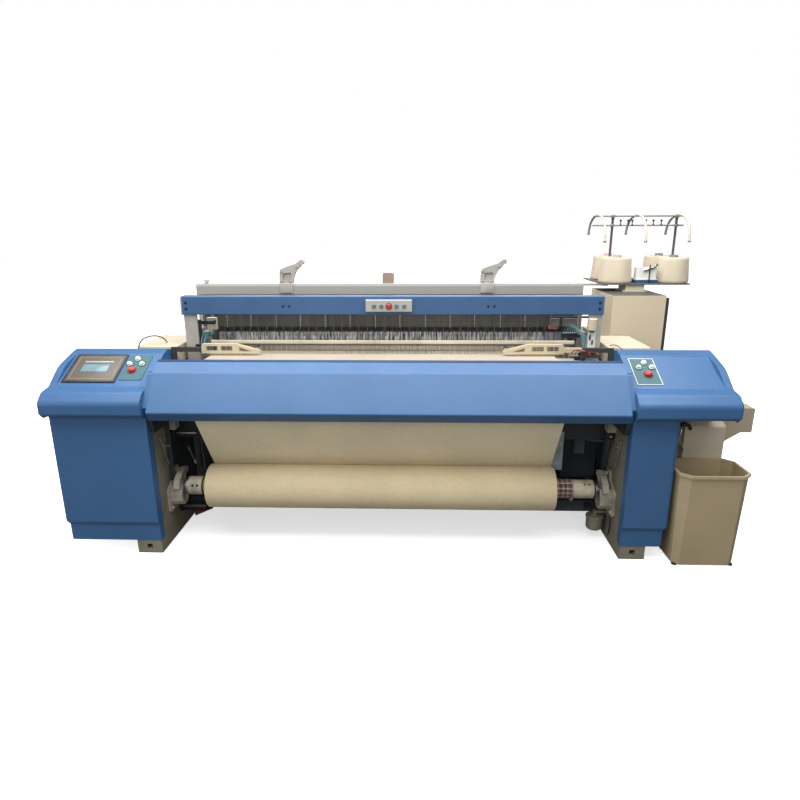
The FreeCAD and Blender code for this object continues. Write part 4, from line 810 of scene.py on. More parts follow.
    @classmethod
    def ring(cls, profile: Profile, segments: int = 48) -> Piece:
        """Turns a closed profile, given without its last point, into a welded ring."""
        piece = cls.lathe([*profile, profile[0]], segments, cap=False)
        return cls.weld(piece)

    @classmethod
    def copy_of(cls, node: str) -> Piece:
        """Copies a CAD node's mesh into a new merged piece, at the origin and selected."""
        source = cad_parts[node]
        piece = bpy.data.objects.new(node + "_copy", source.data.copy())
        bpy.context.scene.collection.objects.link(piece)
        piece.matrix_world = source.matrix_world.copy()
        cls.take(piece)
        bpy.ops.object.transform_apply(location=True, rotation=True, scale=True)
        bpy.ops.mesh.customdata_custom_splitnormals_clear()
        return cls.weld(piece)

    @classmethod
    def slice(cls, piece: Piece, planes: Planes) -> Piece:
        """Divides a piece's faces along planes, each a point and a normal."""
        cls.take(piece)
        bpy.ops.object.mode_set(mode="EDIT")
        for place, normal in planes:
            bpy.ops.mesh.select_all(action="SELECT")
            bpy.ops.mesh.bisect(plane_co=place, plane_no=normal)
        bpy.ops.object.mode_set(mode="OBJECT")
        return piece

    @staticmethod
    def turn(piece: Piece, turn: Matrix, place: Vector) -> Piece:
        """Turns a piece about the origin and moves it to its place."""
        piece.matrix_world = Matrix.Translation(place) @ turn.to_4x4() @ piece.matrix_world
        bpy.context.view_layer.update()
        return piece

    @classmethod
    def rod(cls, start: Vector, end: Vector, radius: float, segments: int = 20,
            bevel: float = 0.6) -> Piece:
        """Adds a round bar with softened ends between two points.

        Args:
            start: One end, in metres.
            end: The other end, in metres.
            radius: Radius in millimetres.
            segments: Sides.
            bevel: Chamfer at the ends in millimetres.

        Returns:
            The object, selected and active.
        """
        length = (end - start).length / MM
        edge = min(bevel, radius * 0.45, length * 0.2)
        piece = cls.lathe([(radius - edge, 0.0), (radius, edge), (radius, length - edge),
                           (radius - edge, length)], segments)
        turn = (end - start).to_track_quat("Z", "Y").to_matrix()
        return cls.turn(piece, turn, start)

    @classmethod
    def repeat(cls, piece: Piece, step: Vector, count: int) -> None:
        """Copies the active piece along a step by an applied array.

        Args:
            piece: The piece to repeat.
            step: Offset from one copy to the next, in metres.
            count: How many there are in all.
        """
        bpy.ops.object.transform_apply(location=True, rotation=True, scale=True)
        row = piece.modifiers.new("row", "ARRAY")
        row.use_relative_offset = False
        row.use_constant_offset = True
        row.constant_offset_displace = step
        row.count = count
        bpy.ops.object.modifier_apply(modifier=row.name)

    @classmethod
    def join(cls, pieces: Sequence[Piece]) -> Piece:
        """Joins pieces into the first, which stays selected and active."""
        cls.clear()
        for piece in pieces:
            piece.select_set(True)
        bpy.context.view_layer.objects.active = pieces[0]
        bpy.ops.object.transform_apply(location=True, rotation=True, scale=True)
        bpy.ops.object.join()
        return bpy.context.object

    @classmethod
    def hose(cls, path: Sequence[Vector], radius: float) -> Piece:
        """Sweeps a round tube along a path and makes it a mesh.

        Args:
            path: Places along the centreline, in metres, close enough to look smooth.
            radius: Radius in millimetres.

        Returns:
            The object, selected and active.
        """
        curve = bpy.data.curves.new("hose", "CURVE")
        curve.dimensions = "3D"
        curve.bevel_depth = radius * MM
        curve.bevel_resolution = 3
        curve.use_fill_caps = True
        line = curve.splines.new("POLY")
        line.points.add(len(path) - 1)
        for knot, place in zip(line.points, path):
            knot.co = (*place, 1.0)
        piece = bpy.data.objects.new("hose", curve)
        bpy.context.scene.collection.objects.link(piece)
        cls.take(piece)
        bpy.ops.object.convert(target="MESH")
        return bpy.context.object

    @classmethod
    def bent(cls, radius: float, *corners: Place) -> Piece:
        """Models a round bar along a smooth line near its corners, all in loom millimetres."""
        return cls.hose(Route.smooth([LOOM.at(*corner) for corner in corners]), radius)

    @staticmethod
    def planes(axis: int, start: float, step: float, count: int) -> Planes:
        """Lays evenly spaced planes across one axis.

        Args:
            axis: 0, 1 or 2 for x, y or z.
            start: Loom millimetres of the first plane.
            step: Millimetres from one plane to the next.
            count: How many planes.

        Returns:
            Point and normal of each plane.
        """
        unit = [float(index == axis) for index in range(3)]
        return [(LOOM.at(*(part * (start + step * k) for part in unit)), Vector(unit))
                for k in range(count)]

    @staticmethod
    def crumple(sheet: Piece, size: float, depth: float, group: str = "") -> None:
        """Folds the active sheet forward and back by clouds.

        Args:
            sheet: The sheet.
            size: Size of the folds in metres.
            depth: Depth of the folds in metres.
            group: Vertex group that says where it folds, or "" for everywhere.
        """
        clouds = bpy.data.textures.new(sheet.name + "_folds", "CLOUDS")
        clouds.noise_scale = size
        folds = sheet.modifiers.new("folds", "DISPLACE")
        folds.texture = clouds
        folds.texture_coords = "LOCAL"
        folds.direction = "Y"
        folds.vertex_group = group
        folds.strength = depth
        bpy.ops.object.modifier_apply(modifier=folds.name)

    @classmethod
    def group(cls, name: str, surface: Surface, pieces: Sequence[Piece],
              body: str = "root", material: Optional[Material] = None) -> Piece:
        """Joins pieces into one and finishes it."""
        if len(pieces) > 1:
            cls.join(pieces)
        return cls.finish(name, surface, body, material)

    @classmethod
    def turned(cls, name: str, surface: Surface, profile: Profile,
               places: Sequence[Place], segments: int, turn: Matrix = UPRIGHT, body: str = "root",
               hollow: bool = False) -> Piece:
        """Models equal turned parts as one piece.

        Args:
            name: The piece's name.
            surface: Its finish.
            profile: Radius and height pairs in millimetres.
            places: Loom millimetres of each part's foot.
            segments: Sides of each part.
            turn: How the parts are turned from upright.
            body: CAD body that they move with.
            hollow: Whether the profile closes on itself as a ring.

        Returns:
            The finished piece.
        """
        make = cls.ring if hollow else cls.lathe
        return cls.group(name, surface, [cls.turn(make(profile, segments), turn, LOOM.at(*place))
                                         for place in places], body)

    @classmethod
    def boxes(cls, *rows: tuple) -> None:
        """Models boxes, each a piece of its own.

        Args:
            *rows: Name, finish, lowest and highest corner in loom millimetres, then the bevel of a
                plain box, or the rim, sink and bevel of one with sunk panels, if not the usual.
        """
        for name, surface, low, high, *edge in rows:
            make = cls.block if len(edge) == 1 else cls.panel_box
            make(LOOM.at(*low), LOOM.at(*high), *edge)
            cls.finish(name, surface)


class Route:
    """Centrelines of tubes and cords."""

    @staticmethod
    def smooth(corners: Sequence[Vector]) -> list[Vector]:
        """Reads places along a smooth line that runs near its corners.

        Args:
            corners: The line's control points, in metres.

        Returns:
            Places along the line, from the first corner to the last.
        """
        curve = bpy.data.curves.new("route", "CURVE")
        curve.dimensions = "3D"
        curve.resolution_u = 10
        line = curve.splines.new("NURBS")
        line.points.add(len(corners) - 1)
        for knot, place in zip(line.points, corners):
            knot.co = (*place, 1.0)
        line.order_u = 3
        line.use_endpoint_u = True
        holder = bpy.data.objects.new("route", curve)
        mesh = bpy.data.meshes.new_from_object(holder)
        path = [vertex.co.copy() for vertex in mesh.vertices]
        bpy.data.objects.remove(holder)
        bpy.data.meshes.remove(mesh)
        bpy.data.curves.remove(curve)
        return path

    @staticmethod
    def length(path: Sequence[Vector]) -> float:
        """Gives a path's length in metres."""
        return sum((b - a).length for a, b in zip(path, path[1:]))


# ---------------------------------------------------------------- head panels
class Slope:
    """The sloping panel of both heads."""

    FRONT: YZ = (120, 943)
    REAR: YZ = (360, 1068)
    ANGLE = math.atan2(REAR[1] - FRONT[1], REAR[0] - FRONT[0])
    TURN = Matrix.Rotation(ANGLE, 3, "X")

    @classmethod
    def place(cls, x: float, s: float, lift: float) -> Vector:
        """Gives the row-frame place of a point on the panel.

        Args:
            x: Millimetres to the right of the centre line.
            s: Millimetres up the slope from its front edge.
            lift: Millimetres above the panel.

        Returns:
            The point in metres.
        """
        run, rise = math.cos(cls.ANGLE), math.sin(cls.ANGLE)
        y, z = cls.FRONT
        return LOOM.at(x, y + s * run - lift * rise, z + s * rise + lift * run)

    @classmethod
    def plate(cls, x0: float, x1: float, s0: float, s1: float, low: float, high: float,
              bevel: float = 0.8) -> Piece:
        """Adds a flat plate lying on the panel, its extents in millimetres."""
        size = Vector((x1 - x0, s1 - s0, high - low)) * MM
        piece = Bench.block(Vector((0, 0, 0)), size, bevel)
        piece.matrix_world = Matrix.Translation(cls.place(x0, s0, low)) @ cls.TURN.to_4x4() @ \
            piece.matrix_world
        return piece


@dataclass(frozen=True)
class HeadPanels:
    """Display face, plate trims, button collars and corner screws on both heads.

    Attributes:
        display: X range and slope range of the display unit.
        plate_right: The same for the right button plate.
        screw_radius: Radius of the panel screws in millimetres.
    """

    display: Extents = (-1720, -1436, 28, 258)
    plate_right: Extents = (1283, 1413, 28, 239)
    screw_radius: float = 4.2

    def build(self) -> None:
        """Models everything on the two panels."""
        self._display()
        self._collars()
        self._screws()

    def _display(self) -> None:
        x0, x1, s0, s1 = self.display
        inset, line = 12, 26.0
        Slope.plate(x0 + inset, x1 - inset, s0 + inset, s1 - inset, 4.6, 6.4)
        Bench.finish("display_face", Surface.PANEL_BROWN)
        self._outline("display_border", Surface.GOLD_LINE,
                      (x0 + line, x1 - line, s0 + line, s1 - line), 3, 6.2)
        Slope.plate(x0 + 66, x1 - 60, s0 + 160, s0 + 170, 6.2, 6.9, 0.2)
        Bench.finish("display_strip", Surface.GREY_PLATE)
        Slope.plate(x0 + 67, x1 - 73, s0 + 84, s0 + 143, 6.2, 7.2, 0.4)
        Bench.finish("display_screen", Surface.SCREEN)
        self._outline("plate_outline", Surface.WHITE, self.plate_right, 3.5, 2.9)

    @staticmethod
    def _outline(name: str, surface: Surface, extents: Extents, width: float,
                 low: float) -> None:
        """Models a thin raised line round an oblong, its extents in millimetres."""
        x0, x1, s0, s1 = extents
        edges = ((x0, x1, s0, s0 + width), (x0, x1, s1 - width, s1),
                 (x0, x0 + width, s0, s1), (x1 - width, x1, s0, s1))
        Bench.group(name, surface, [Slope.plate(*edge, low, low + 0.7, 0.2) for edge in edges])

    def _collars(self) -> None:
        for side in ("left", "right"):
            for index, skirt in enumerate((Surface.GREEN, Surface.BLACK, Surface.BLACK), 1):
                node = "panel_button_%s_%d" % (side, index)
                self._ring(node, "bezel", 10.9, 14.6, 5, Surface.WHITE)
                self._ring(node, "skirt", 14.8, 18.5, 2.6, skirt)
            self._ring("stop_button_%s" % side, "skirt", 20.4, 25, 4.5, Surface.DARK_RED)

    @staticmethod
    def _ring(node: str, part: str, inner: float, outer: float, height: float,
              surface: Surface) -> None:
        low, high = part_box(node)
        middle = (low + high) / 2
        normal = Slope.TURN @ Vector((0, 0, 1))
        panel = Slope.place(0, 0, 3)
        foot = middle + normal * (panel - middle).dot(normal)
        ring = Bench.ring([(inner, 0), (outer, 0), (outer, height - 1.2), (outer - 1.2, height),
                           (inner + 0.6, height), (inner, height - 0.6)], 32)
        Bench.turn(ring, Slope.TURN, foot)
        Bench.finish("%s_%s" % (node, part), surface)

    def _screws(self) -> None:
        spots = [(-1748, 16), (-1748, 268), (-1288, 268), (-1290, 14),
                 (1272, 272), (1678, 276), (1653, 8), (1268, 10)]
        size = self.screw_radius
        profile = [(size, 0), (size, 2), (size * 0.55, 3.4), (size * 0.5, 2.2)]
        Bench.group("panel_screws", Surface.GREY_SCREW,
                    [Bench.turn(Bench.lathe(profile, 16), Slope.TURN, Slope.place(x, s, 0))
                     for x, s in spots])


# ---------------------------------------------------------------- harness and warp
@dataclass(frozen=True)
class Harness:
    """Fine healds and stays in the heald frames, reed dents, drop wires and the screen behind.

    Attributes:
        pitch: Distance from one group of warp ends to the next, in millimetres.
        offsets: Place of each frame's first heald in a group.
        spacing: Distance between the healds of each frame, in millimetres.
        level: Height of the warp line.
    """

    pitch: float = 6.5
    offsets: Extents = (1.2, 2.9, 4.3, 5.5)
    spacing: Extents = (6.1, 5.3, 5.7, 4.9)
    level: float = 1040.0

    FIRST = -1079.0
    WIDTH = 2150.0
    FRAME_Y = (800, 820, 840, 860)
    HALF_LENGTH = 194.0
    STAY_PITCH = 152.4
    STAYS = 14
    DENT_PITCH = 3.0
    DENTS = 690
    BODIES = ("healds_odd_body", "healds_even_body")

    def build(self) -> None:
        """Models healds, stiffeners, dents, drop wires and the screen."""
        # The near-white streaks low on the healds are partly a painted highlight.
        steel = HealdSteel("heald_steel", (0.19, 0.18, 0.165), (0.95, 0.96, 1)).material()
        for index, (offset, y) in enumerate(zip(self.offsets, self.FRAME_Y)):
            self._healds(index, offset, y, steel)
        self._stiffeners()
        self._dents()
        self._drop_wires()
        self._screen()

    def _screen(self) -> None:
        Bench.boxes(("harness_screen", Surface.SCREEN_BROWN, (-1238, 985.3, 1070),
                     (1174, 988.3, 1338), 16, -0.8, 1),
                    ("harness_screen_lip", Surface.DARK, (-1238, 978, 1060), (1174, 990, 1073),
                     2, -0.8, 2))
        rib = Bench.block(LOOM.at(-1200, 982, 1072), LOOM.at(-1192, 985.6, 1329), 1.2)
        Bench.repeat(rib, Vector((214 * MM, 0, 0)), 12)
        Bench.finish("harness_screen_ribs", Surface.DARK)

    def _healds(self, index: int, offset: float, y: float, steel: Material) -> None:
        x, z = self.FIRST + offset, self.level
        half, eye = 0.95, 5.0
        heald = Bench.bar(LOOM.at(x - half, y - 0.25, z - self.HALF_LENGTH),
                          LOOM.at(x + half, y + 0.25, z + self.HALF_LENGTH),
                          Bench.planes(2, z - eye, 2 * eye, 2))
        Bench.slot_through(heald, lambda centre, normal: abs(normal.y) > 0.9
                           and abs(centre.z - z * MM) < 0.001, 0.4)
        step = self.spacing[index]
        Bench.repeat(heald, Vector((step * MM, 0, 0)), int(self.WIDTH / step))
        Bench.finish("healds_%d" % (index + 1), Surface.HEALD, self.BODIES[index % 2], steel)

    def _stiffeners(self) -> None:
        # Stays: white below the black band as a painted highlight.
        paint = HealdSteel("stay_steel", (0.62, 0.60, 0.53), (1, 1, 1), (0, 0.1)).material()
        starts = [self.FIRST + self.pitch * (8 + round(count * self.STAY_PITCH / self.pitch)) + 6.2
                  for count in range(self.STAYS)]
        for index, (y, foot) in enumerate(zip(self.FRAME_Y, (1076, 1186))):
            stays = [Bench.block(LOOM.at(x, y - 7.9, foot), LOOM.at(x + 2.4, y - 6.3, 1312), 0.4, 1)
                     for x in starts]
            Bench.group("frame_stays_%d" % (index + 1), Surface.WHITE, stays,
                        self.BODIES[index % 2], paint)

    def _dents(self) -> None:
        x, y = -1033.5, 600.0
        dent = Bench.bar(LOOM.at(x - 0.3, y - 4.2, 998), LOOM.at(x + 0.3, y + 4.2, 1084),
                         Bench.planes(1, y - 3, 6, 2))
        Bench.pick(dent, lambda centre, normal: abs(normal.y) > 0.9)
        bpy.ops.transform.resize(value=(0.4, 1, 1), center_override=LOOM.at(x, y, 1040))
        bpy.ops.object.mode_set(mode="OBJECT")
        Bench.repeat(dent, Vector((self.DENT_PITCH * MM, 0, 0)), self.DENTS)
        Bench.finish("reed_dents", Surface.DENT, "sley_body")
        # A dark strip under the reed cap: painted shadow of the cap.
        Bench.block(LOOM.at(-1056, y - 5.6, 1073), LOOM.at(1056, y - 4.3, 1081), 0.4, 1)
        Bench.finish("reed_cap_shadow_strip", Surface.SCREEN_BROWN, "sley_body")

    def _drop_wires(self) -> None:
        for bank in range(4):
            x, y = -1020 + 1.6 * bank, 1150 + 27 * bank
            wire = Bench.bar(LOOM.at(x - 0.35, y - 8, 955), LOOM.at(x + 0.35, y + 8, 1078),
                             Bench.planes(2, 1024, 48, 2))
            Bench.slot_through(wire, lambda centre, normal: abs(normal.x) > 0.9
                               and abs(centre.z - 1048 * MM) < 0.002, 1.3)
            Bench.repeat(wire, Vector((6.5 * MM, 0, 0)), 300)
            Bench.finish("drop_wires_%d" % (bank + 1), Surface.HEALD)


@dataclass(frozen=True)
class WarpThreads:
    """Warp ends from the fell through reed and healds to the drop wires.

    Attributes:
        harness: The healds that the ends pass through.
        half_width: Half an end's width in millimetres.
    """

    harness: Harness = Harness()
    half_width: float = 0.45

    FELL = 506.4
    SPLIT = 830.0
    BACK = 1130.0
    CLOTH_LEFT = -1020.0
    GROUPS = 298

    def build(self) -> None:
        """Models the front and back lengths of both sheds."""
        for shed, body in enumerate(Harness.BODIES):
            self._ends("warp_ends_front_%d" % shed, shed, self.FELL, self.SPLIT, True)
            self._ends("warp_ends_back_%d" % shed, shed, self.SPLIT, self.BACK, False)

    def _ends(self, name: str, shed: int, y0: float, y1: float, front: bool) -> None:
        z = self.harness.level
        cuts = Bench.planes(1, y0 + (y1 - y0) / 7, (y1 - y0) / 7, 6)
        start = self.CLOTH_LEFT + (Harness.FIRST - self.CLOTH_LEFT) % self.harness.pitch
        group = Bench.join([Bench.bar(LOOM.at(start + offset - self.half_width, y0, z - 0.25),
                                      LOOM.at(start + offset + self.half_width, y1, z + 0.25), cuts)
                            for offset in self.harness.offsets[shed::2]])
        Bench.repeat(group, Vector((self.harness.pitch * MM, 0, 0)), self.GROUPS)
        Bench.finish(name, Surface.SHADED_THREAD if front else Surface.THREAD, "")
        if front:
            LOOM.at(0, self.FELL, z)
            LOOM.at(0, 800.0, z)
            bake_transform(group)
        else:
            LOOM.at(0, 860.0, z)
            LOOM.at(0, self.BACK, z)
            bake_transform(group)


# ---------------------------------------------------------------- cloth and yarn
@dataclass(frozen=True)
class ClothGoods:
    """Woven cloth over its bars, and the roll that it winds on.

    Attributes:
        left: Left edge of the cloth in loom millimetres.
        right: Right edge of the cloth in loom millimetres.
        wrinkle: Depth of the wrinkles in the hanging cloth in millimetres.
    """

    left: float = -1020.0
    right: float = 920.0
    wrinkle: float = 9.0

    FLAT_Z = 1034.0
    ROLL = (275, 320)
    ROLL_R = 123.0
    TUBE_R = 50.4

    def build(self) -> None:
        """Models the cloth and the roll."""
        self._cloth()
        self._roll()

    def _cloth(self) -> None:
        cloth = Bench.copy_of("cloth")
        width = self.right - self.left
        Bench.slice(cloth, Bench.planes(0, self.left + width / 30, width / 30, 29)
                    + Bench.planes(2, 450, 20, 16))
        hang = cloth.vertex_groups.new(name="hang")
        for vertex in cloth.data.vertices:
            loom_z = vertex.co.z / MM
            loom_x = (vertex.co.x - LOOM.centre) / MM
            share = max(0, min(1, (770 - loom_z) / 200, (loom_z - 445) / 90))
            side = 0.35 + 0.65 * max(0, min(1, (loom_x - 300) / 500))
            hang.add([vertex.index], share * side, "REPLACE")
        Bench.crumple(cloth, 0.16, self.wrinkle * MM, "hang")
        Bench.finish("cloth_sheet", Surface.CLOTH)
        # Faces above FLAT_Z, the flat top of the cloth, take the darker copy of the cloth as
        # painted shade.
        cloth.data.materials.append(PALETTE.material(Surface.SHADED_CLOTH_TOP))
        for face in cloth.data.polygons:
            face.material_index = int(face.center.z > self.FLAT_Z * MM)
        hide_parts("cloth")

    def _roll(self) -> None:
        width = self.right - self.left
        r, bore = self.ROLL_R, self.TUBE_R
        near = [(bore, 0)]
        for step in range(1, 8):
            radius = bore + (r - 2 - bore) * step / 8
            near += [(radius, 1.6), (radius + 0.8, 0.2)]
        near += [(r - 1.2, 0.4), (r, 2.2)]
        far = [(radius, width - depth) for radius, depth in reversed(near)]
        body = [(r + 0.2, width * 0.25), (r - 0.3, width * 0.5), (r + 0.2, width * 0.75)]
        roll = Bench.turned("cloth_roll_wound", Surface.CLOTH_ROLL, [*near, *body, *far],
                            [(self.left, *self.ROLL)], 72, ACROSS, ROLL_BODY, True)
        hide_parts("cloth_roll")


@dataclass(frozen=True)
class WarpGoods:
    """Warp sheet over the back rest and the yarn on the beam.

    Attributes:
        joint_y: Where the warp ends meet the sheet, in loom millimetres.
    """

    joint_y: float = 1130.0

    def build(self) -> None:
        """Models the sheet and the wound warp."""
        self._sheet()
        self._beam_yarn()

    def _sheet(self) -> None:
        warp = Bench.copy_of("warp_sheet")
        Bench.pick(warp, lambda centre, normal: True)
        bpy.ops.mesh.bisect(plane_co=LOOM.at(0, self.joint_y, 0), plane_no=(0, 1, 0),
                            use_fill=True, clear_inner=True)
        bpy.ops.object.mode_set(mode="OBJECT")
        Bench.slice(warp, Bench.planes(0, -936, 104, 19))
        Bench.finish("warp_sheet_back", Surface.WARP)
        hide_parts("warp_sheet")

    def _beam_yarn(self) -> None:
        low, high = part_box("warp_yarn")
        width = (high.x - low.x) / MM
        radius = (high.z - low.z) / 2 / MM
        middle = (low + high) / 2
        bore = 75.4
        profile = [(bore, 0), (radius * 0.5, 0.8), (radius - 4, 0.2), (radius - 0.6, 2)]
        waves = 46
        for k in range(waves + 1):
            swell = 0.5 * math.sin(k * 2.4) - 0.6
            profile.append((radius + swell, 4 + (width - 8) * k / waves))
        profile += [(radius - 0.6, width - 2), (radius - 4, width - 0.2),
                    (radius * 0.5, width - 0.8), (bore, width)]
        yarn = Bench.ring(profile, 72)
        Bench.turn(yarn, ACROSS, Vector((low.x, middle.y, middle.z)))
        Bench.finish("warp_yarn_wound", Surface.WARP, "warp_beam_body")
        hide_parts("warp_yarn")


@dataclass(frozen=True)
class YarnPackages:
    """Four cross-wound yarn cones on paper cores.

    Attributes:
        places: Loom x and y of each cone's axis.
        base: Height of the tray's top.
    """

    places: tuple[YZ, ...] = ((1505, 1375), (1886, 1375), (1525, 1650),
                              (1890, 1650))
    base: float = 1370.3

    WOUND = ((28, 4), (40, 1.5), (98, 0), (106, 2.5), (109.6, 9), (109, 20),
             (103, 90), (97.4, 152), (95.6, 161), (90, 166.4), (80, 168),
             (52, 166.6), (38, 163), (28, 162))
    CORE = ((21, 0), (27, 0), (27.6, 178), (26.2, 181), (22.4, 181), (21, 178))

    def build(self) -> None:
        """Models wound yarn and core of each cone."""
        first = None
        for index, (x, y) in enumerate(self.places):
            foot = LOOM.at(x, y, self.base)
            wound = Bench.ring(self.WOUND, 64)
            wound.location = foot
            material = PALETTE.material(Surface.YARN, (foot.x, foot.y))
            Bench.finish("yarn_package_%d" % (index + 1), Surface.YARN, material=material)
            core = Bench.ring(self.CORE, 32)
            core.location = foot
            Bench.finish("paper_core_%d" % (index + 1),
                         Surface.CORE if index % 2 == 0 else Surface.GREY_CORE)
            first = first or wound
        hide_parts("yarn_cones")


# ---------------------------------------------------------------- creel
@dataclass(frozen=True)
class CreelFrame:
    """Uprights, thread bars, bent tension tubes and guide pins over the cones.

    Attributes:
        y: Loom y of the uprights.
        base: Height of the tray's top.
        top: Height of the upper bar.
        low: Height of the lower bar.
    """

    y: float = 1512.5
    base: float = 1370.0
    top: float = 1807.0
    low: float = 1745.0

    UPRIGHTS = (1497, 1932)
    ARCHES = (1392, 1660, 1944)
    PINS = (1552, 1604, 1632, 1724, 1776, 1830)

    def build(self) -> None:
        """Models the whole frame, which stands for the CAD guides."""
        self._uprights()
        self._bars()
        self._arches()
        self._pins()
        self._store()

    def _uprights(self) -> None:
        height = self.top + 8 - self.base
        profile = [(17, 0), (17, 4), (11, 9), (8, 14), (8, height - 34),
                   (10, height - 30), (10, height - 6), (8, height)]
        piece = Bench.turned("creel_uprights", Surface.CREEL_STEEL, profile,
                             [(x, self.y, self.base) for x in self.UPRIGHTS], 24)
        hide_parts("creel_guides")

    def _bars(self) -> None:
        bars = [Bench.rod(LOOM.at(1362, self.y, z), LOOM.at(1983, self.y, z), 5, 16)
                for z in (self.top, self.low)]
        bars += [Bench.block(LOOM.at(x - 12, self.y - 13, z - 9),
                             LOOM.at(x + 12, self.y + 13, z + 9), 3)
                 for x in self.UPRIGHTS for z in (self.top, self.low)]
        Bench.group("creel_thread_bars", Surface.CREEL_GREY, bars)

    def _arches(self) -> None:
        peak = self.top + 6.0
        front, back = (self.y - 214, peak - 171), (self.y + 200, peak - 126)
        for name, surface, ends in (
                ("creel_arches_front", Surface.CREAM_TUBE,
                 (front, (self.y - 200, peak), (self.y - 20, peak))),
                ("creel_arches_back", Surface.CREEL_GREY,
                 ((self.y - 19.8, peak), (self.y + 182, peak), back))):
            Bench.group(name, surface, [Bench.bent(8, *((x, *end) for end in ends))
                                        for x in self.ARCHES])
        Bench.turned("creel_eyes", Surface.CREEL_GREY,
                     [(5, -6), (8.4, -7), (9.6, -3), (9.6, 3), (8.6, 4), (5, 0)],
                     [(x, *end) for x in self.ARCHES for end in (front, back)], 20, hollow=True)

    def _pins(self) -> None:
        profile = [(6.5, 0), (6.5, 6), (3.4, 8), (3.4, 26), (6, 28), (7.6, 32),
                   (7.6, 36), (5, 39)]
        Bench.turned("creel_pins", Surface.BLACK, profile,
                     [(x, self.y, self.low) for x in self.PINS], 16)

    def _store(self) -> None:
        Bench.boxes(("feeder_base", Surface.FEEDER_BLUE, (1616.5, 1280.5, 1370.3),
                     (1761.5, 1373.5, 1394), 3))
        post = Bench.rod(LOOM.at(1700, 1276, 1375), LOOM.at(1700, 1276, 1491), 4.2, 14)
        arm = Bench.bent(4, (1660, 1276, 1452), (1700, 1276, 1462), (1746, 1276, 1482),
                         (1746, 1276, 1500))
        Bench.group("feeder_tension_arm", Surface.BLACK, [post, arm])


# ---------------------------------------------------------------- roll ends
@dataclass(frozen=True)
class RollEnds:
    """Sleeves, tie and stop disc on the cloth beam, and the rag beside it.

    Attributes:
        axis: Loom y and z of the cloth beam.
        tube: Radius of the beam's tube.
    """

    axis: YZ = (275, 320)
    tube: float = 50.0

    def build(self) -> None:
        """Models what shows at both ends of the cloth roll."""
        self._sleeve("right_sleeve", 1026, 1140)
        self._sleeve("left_sleeve", -1140, -1062)
        self._holes()
        self._tie()
        self._discs()
        self._rag()

    def _round(self, name: str, surface: Surface, profile: Profile,
               *places: float) -> None:
        """Models rings round the cloth beam, each at its own x."""
        Bench.turned(name, surface, profile, [(x, *self.axis) for x in places], 40, ACROSS,
                     ROLL_BODY, True)

    def _sleeve(self, name: str, x0: float, x1: float) -> None:
        length = x1 - x0
        inner, outer = self.tube + 0.3, self.tube + 2.4
        self._round(name, Surface.WORN_TUBE, [
            (inner, 0), (outer - 0.8, 0), (outer, 0.8), (outer, length * 0.42),
            (outer + 0.7, length * 0.45), (outer + 0.7, length * 0.5), (outer, length * 0.53),
            (outer, length - 0.8), (outer - 0.8, length), (inner, length)], x0)

    def _holes(self) -> None:
        holes = []
        for x, angle, size in ((1086, 130, 5), (1112, 130, 5), (1086, -50, 5),
                               (-1112, 160, 7.5), (-1086, 160, 7.5)):
            turn = math.radians(angle)
            out = Vector((0, math.cos(turn), math.sin(turn)))
            foot = LOOM.at(x, *self.axis) + out * (self.tube + 2.2) * MM
            hole = Bench.lathe([(size, 0), (size, 0.5), (size * 0.8, 0.7), (size * 0.7, 0.4)], 16)
            holes.append(Bench.turn(hole, out.to_track_quat("Z", "Y").to_matrix(), foot))
        Bench.group("sleeve_holes", Surface.BLACK, holes, ROLL_BODY)
        self._round("yarn_binding", Surface.ROPE, [
            (50.3, -2), (53, -3), (55.5, -2), (56.5, 0), (55.5, 2), (53, 3),
            (50.3, 2)], -1049, -1042, -1035)

    def _tie(self) -> None:
        inner = self.tube + 0.3
        folds = ((5, 0), (6.5, 6), (4.6, 11), (6.8, 20), (4.8, 28), (6.2, 38),
                 (4.4, 48), (5.8, 60), (4.6, 70), (6.4, 82), (5, 92), (3.4, 100))
        outline = [(self.tube + radius + 0.4 * math.sin(step * 2), along)
                   for step, (radius, along) in enumerate(folds)]
        self._round("checked_tie", Surface.CHECK, [(inner, 0), *outline, (inner, 100)], 923)
        Bench.turned("tie_knot", Surface.CHECK,
                     [(4, 0), (9, 3), (11, 8), (8, 13), (3, 16)],
                     [(1012, self.axis[0] - 44, self.axis[1] - 40)], 14,
                     Matrix.Rotation(math.radians(95), 3, "X"), ROLL_BODY)

    def _discs(self) -> None:
        inner, outer = self.tube + 0.3, self.tube + 9.0
        profile = [(inner, 0), (outer - 2, 0), (outer, 1.5), (outer, 4), (outer - 2, 5.5),
                   (inner, 5.5)]
        self._round("left_stop_disc", Surface.BLACK, profile, -1060)
        self._round("right_stop_disc", Surface.BLACK, profile, 1141)

    def _rag(self) -> None:
        x0, x1, back, z0, z1 = -1176, -1062, 377, 74, 158.0
        rag = Bench.bar(LOOM.at(x0, back, z0), LOOM.at(x1, back + 1, z1),
                        Bench.planes(0, x0 + 9, 9, 12) + Bench.planes(2, z0 + 7, 7, 11))
        Bench.pick(rag, lambda centre, normal: True)
        bpy.ops.mesh.bisect(plane_co=LOOM.at(x1, back, 124), plane_no=(-0.41, 0, 0.91),
                            use_fill=True, clear_inner=True)
        bpy.ops.object.mode_set(mode="OBJECT")
        Bench.crumple(rag, 0.03, 0.012)
        Bench.finish("oil_rag", Surface.MAROON)


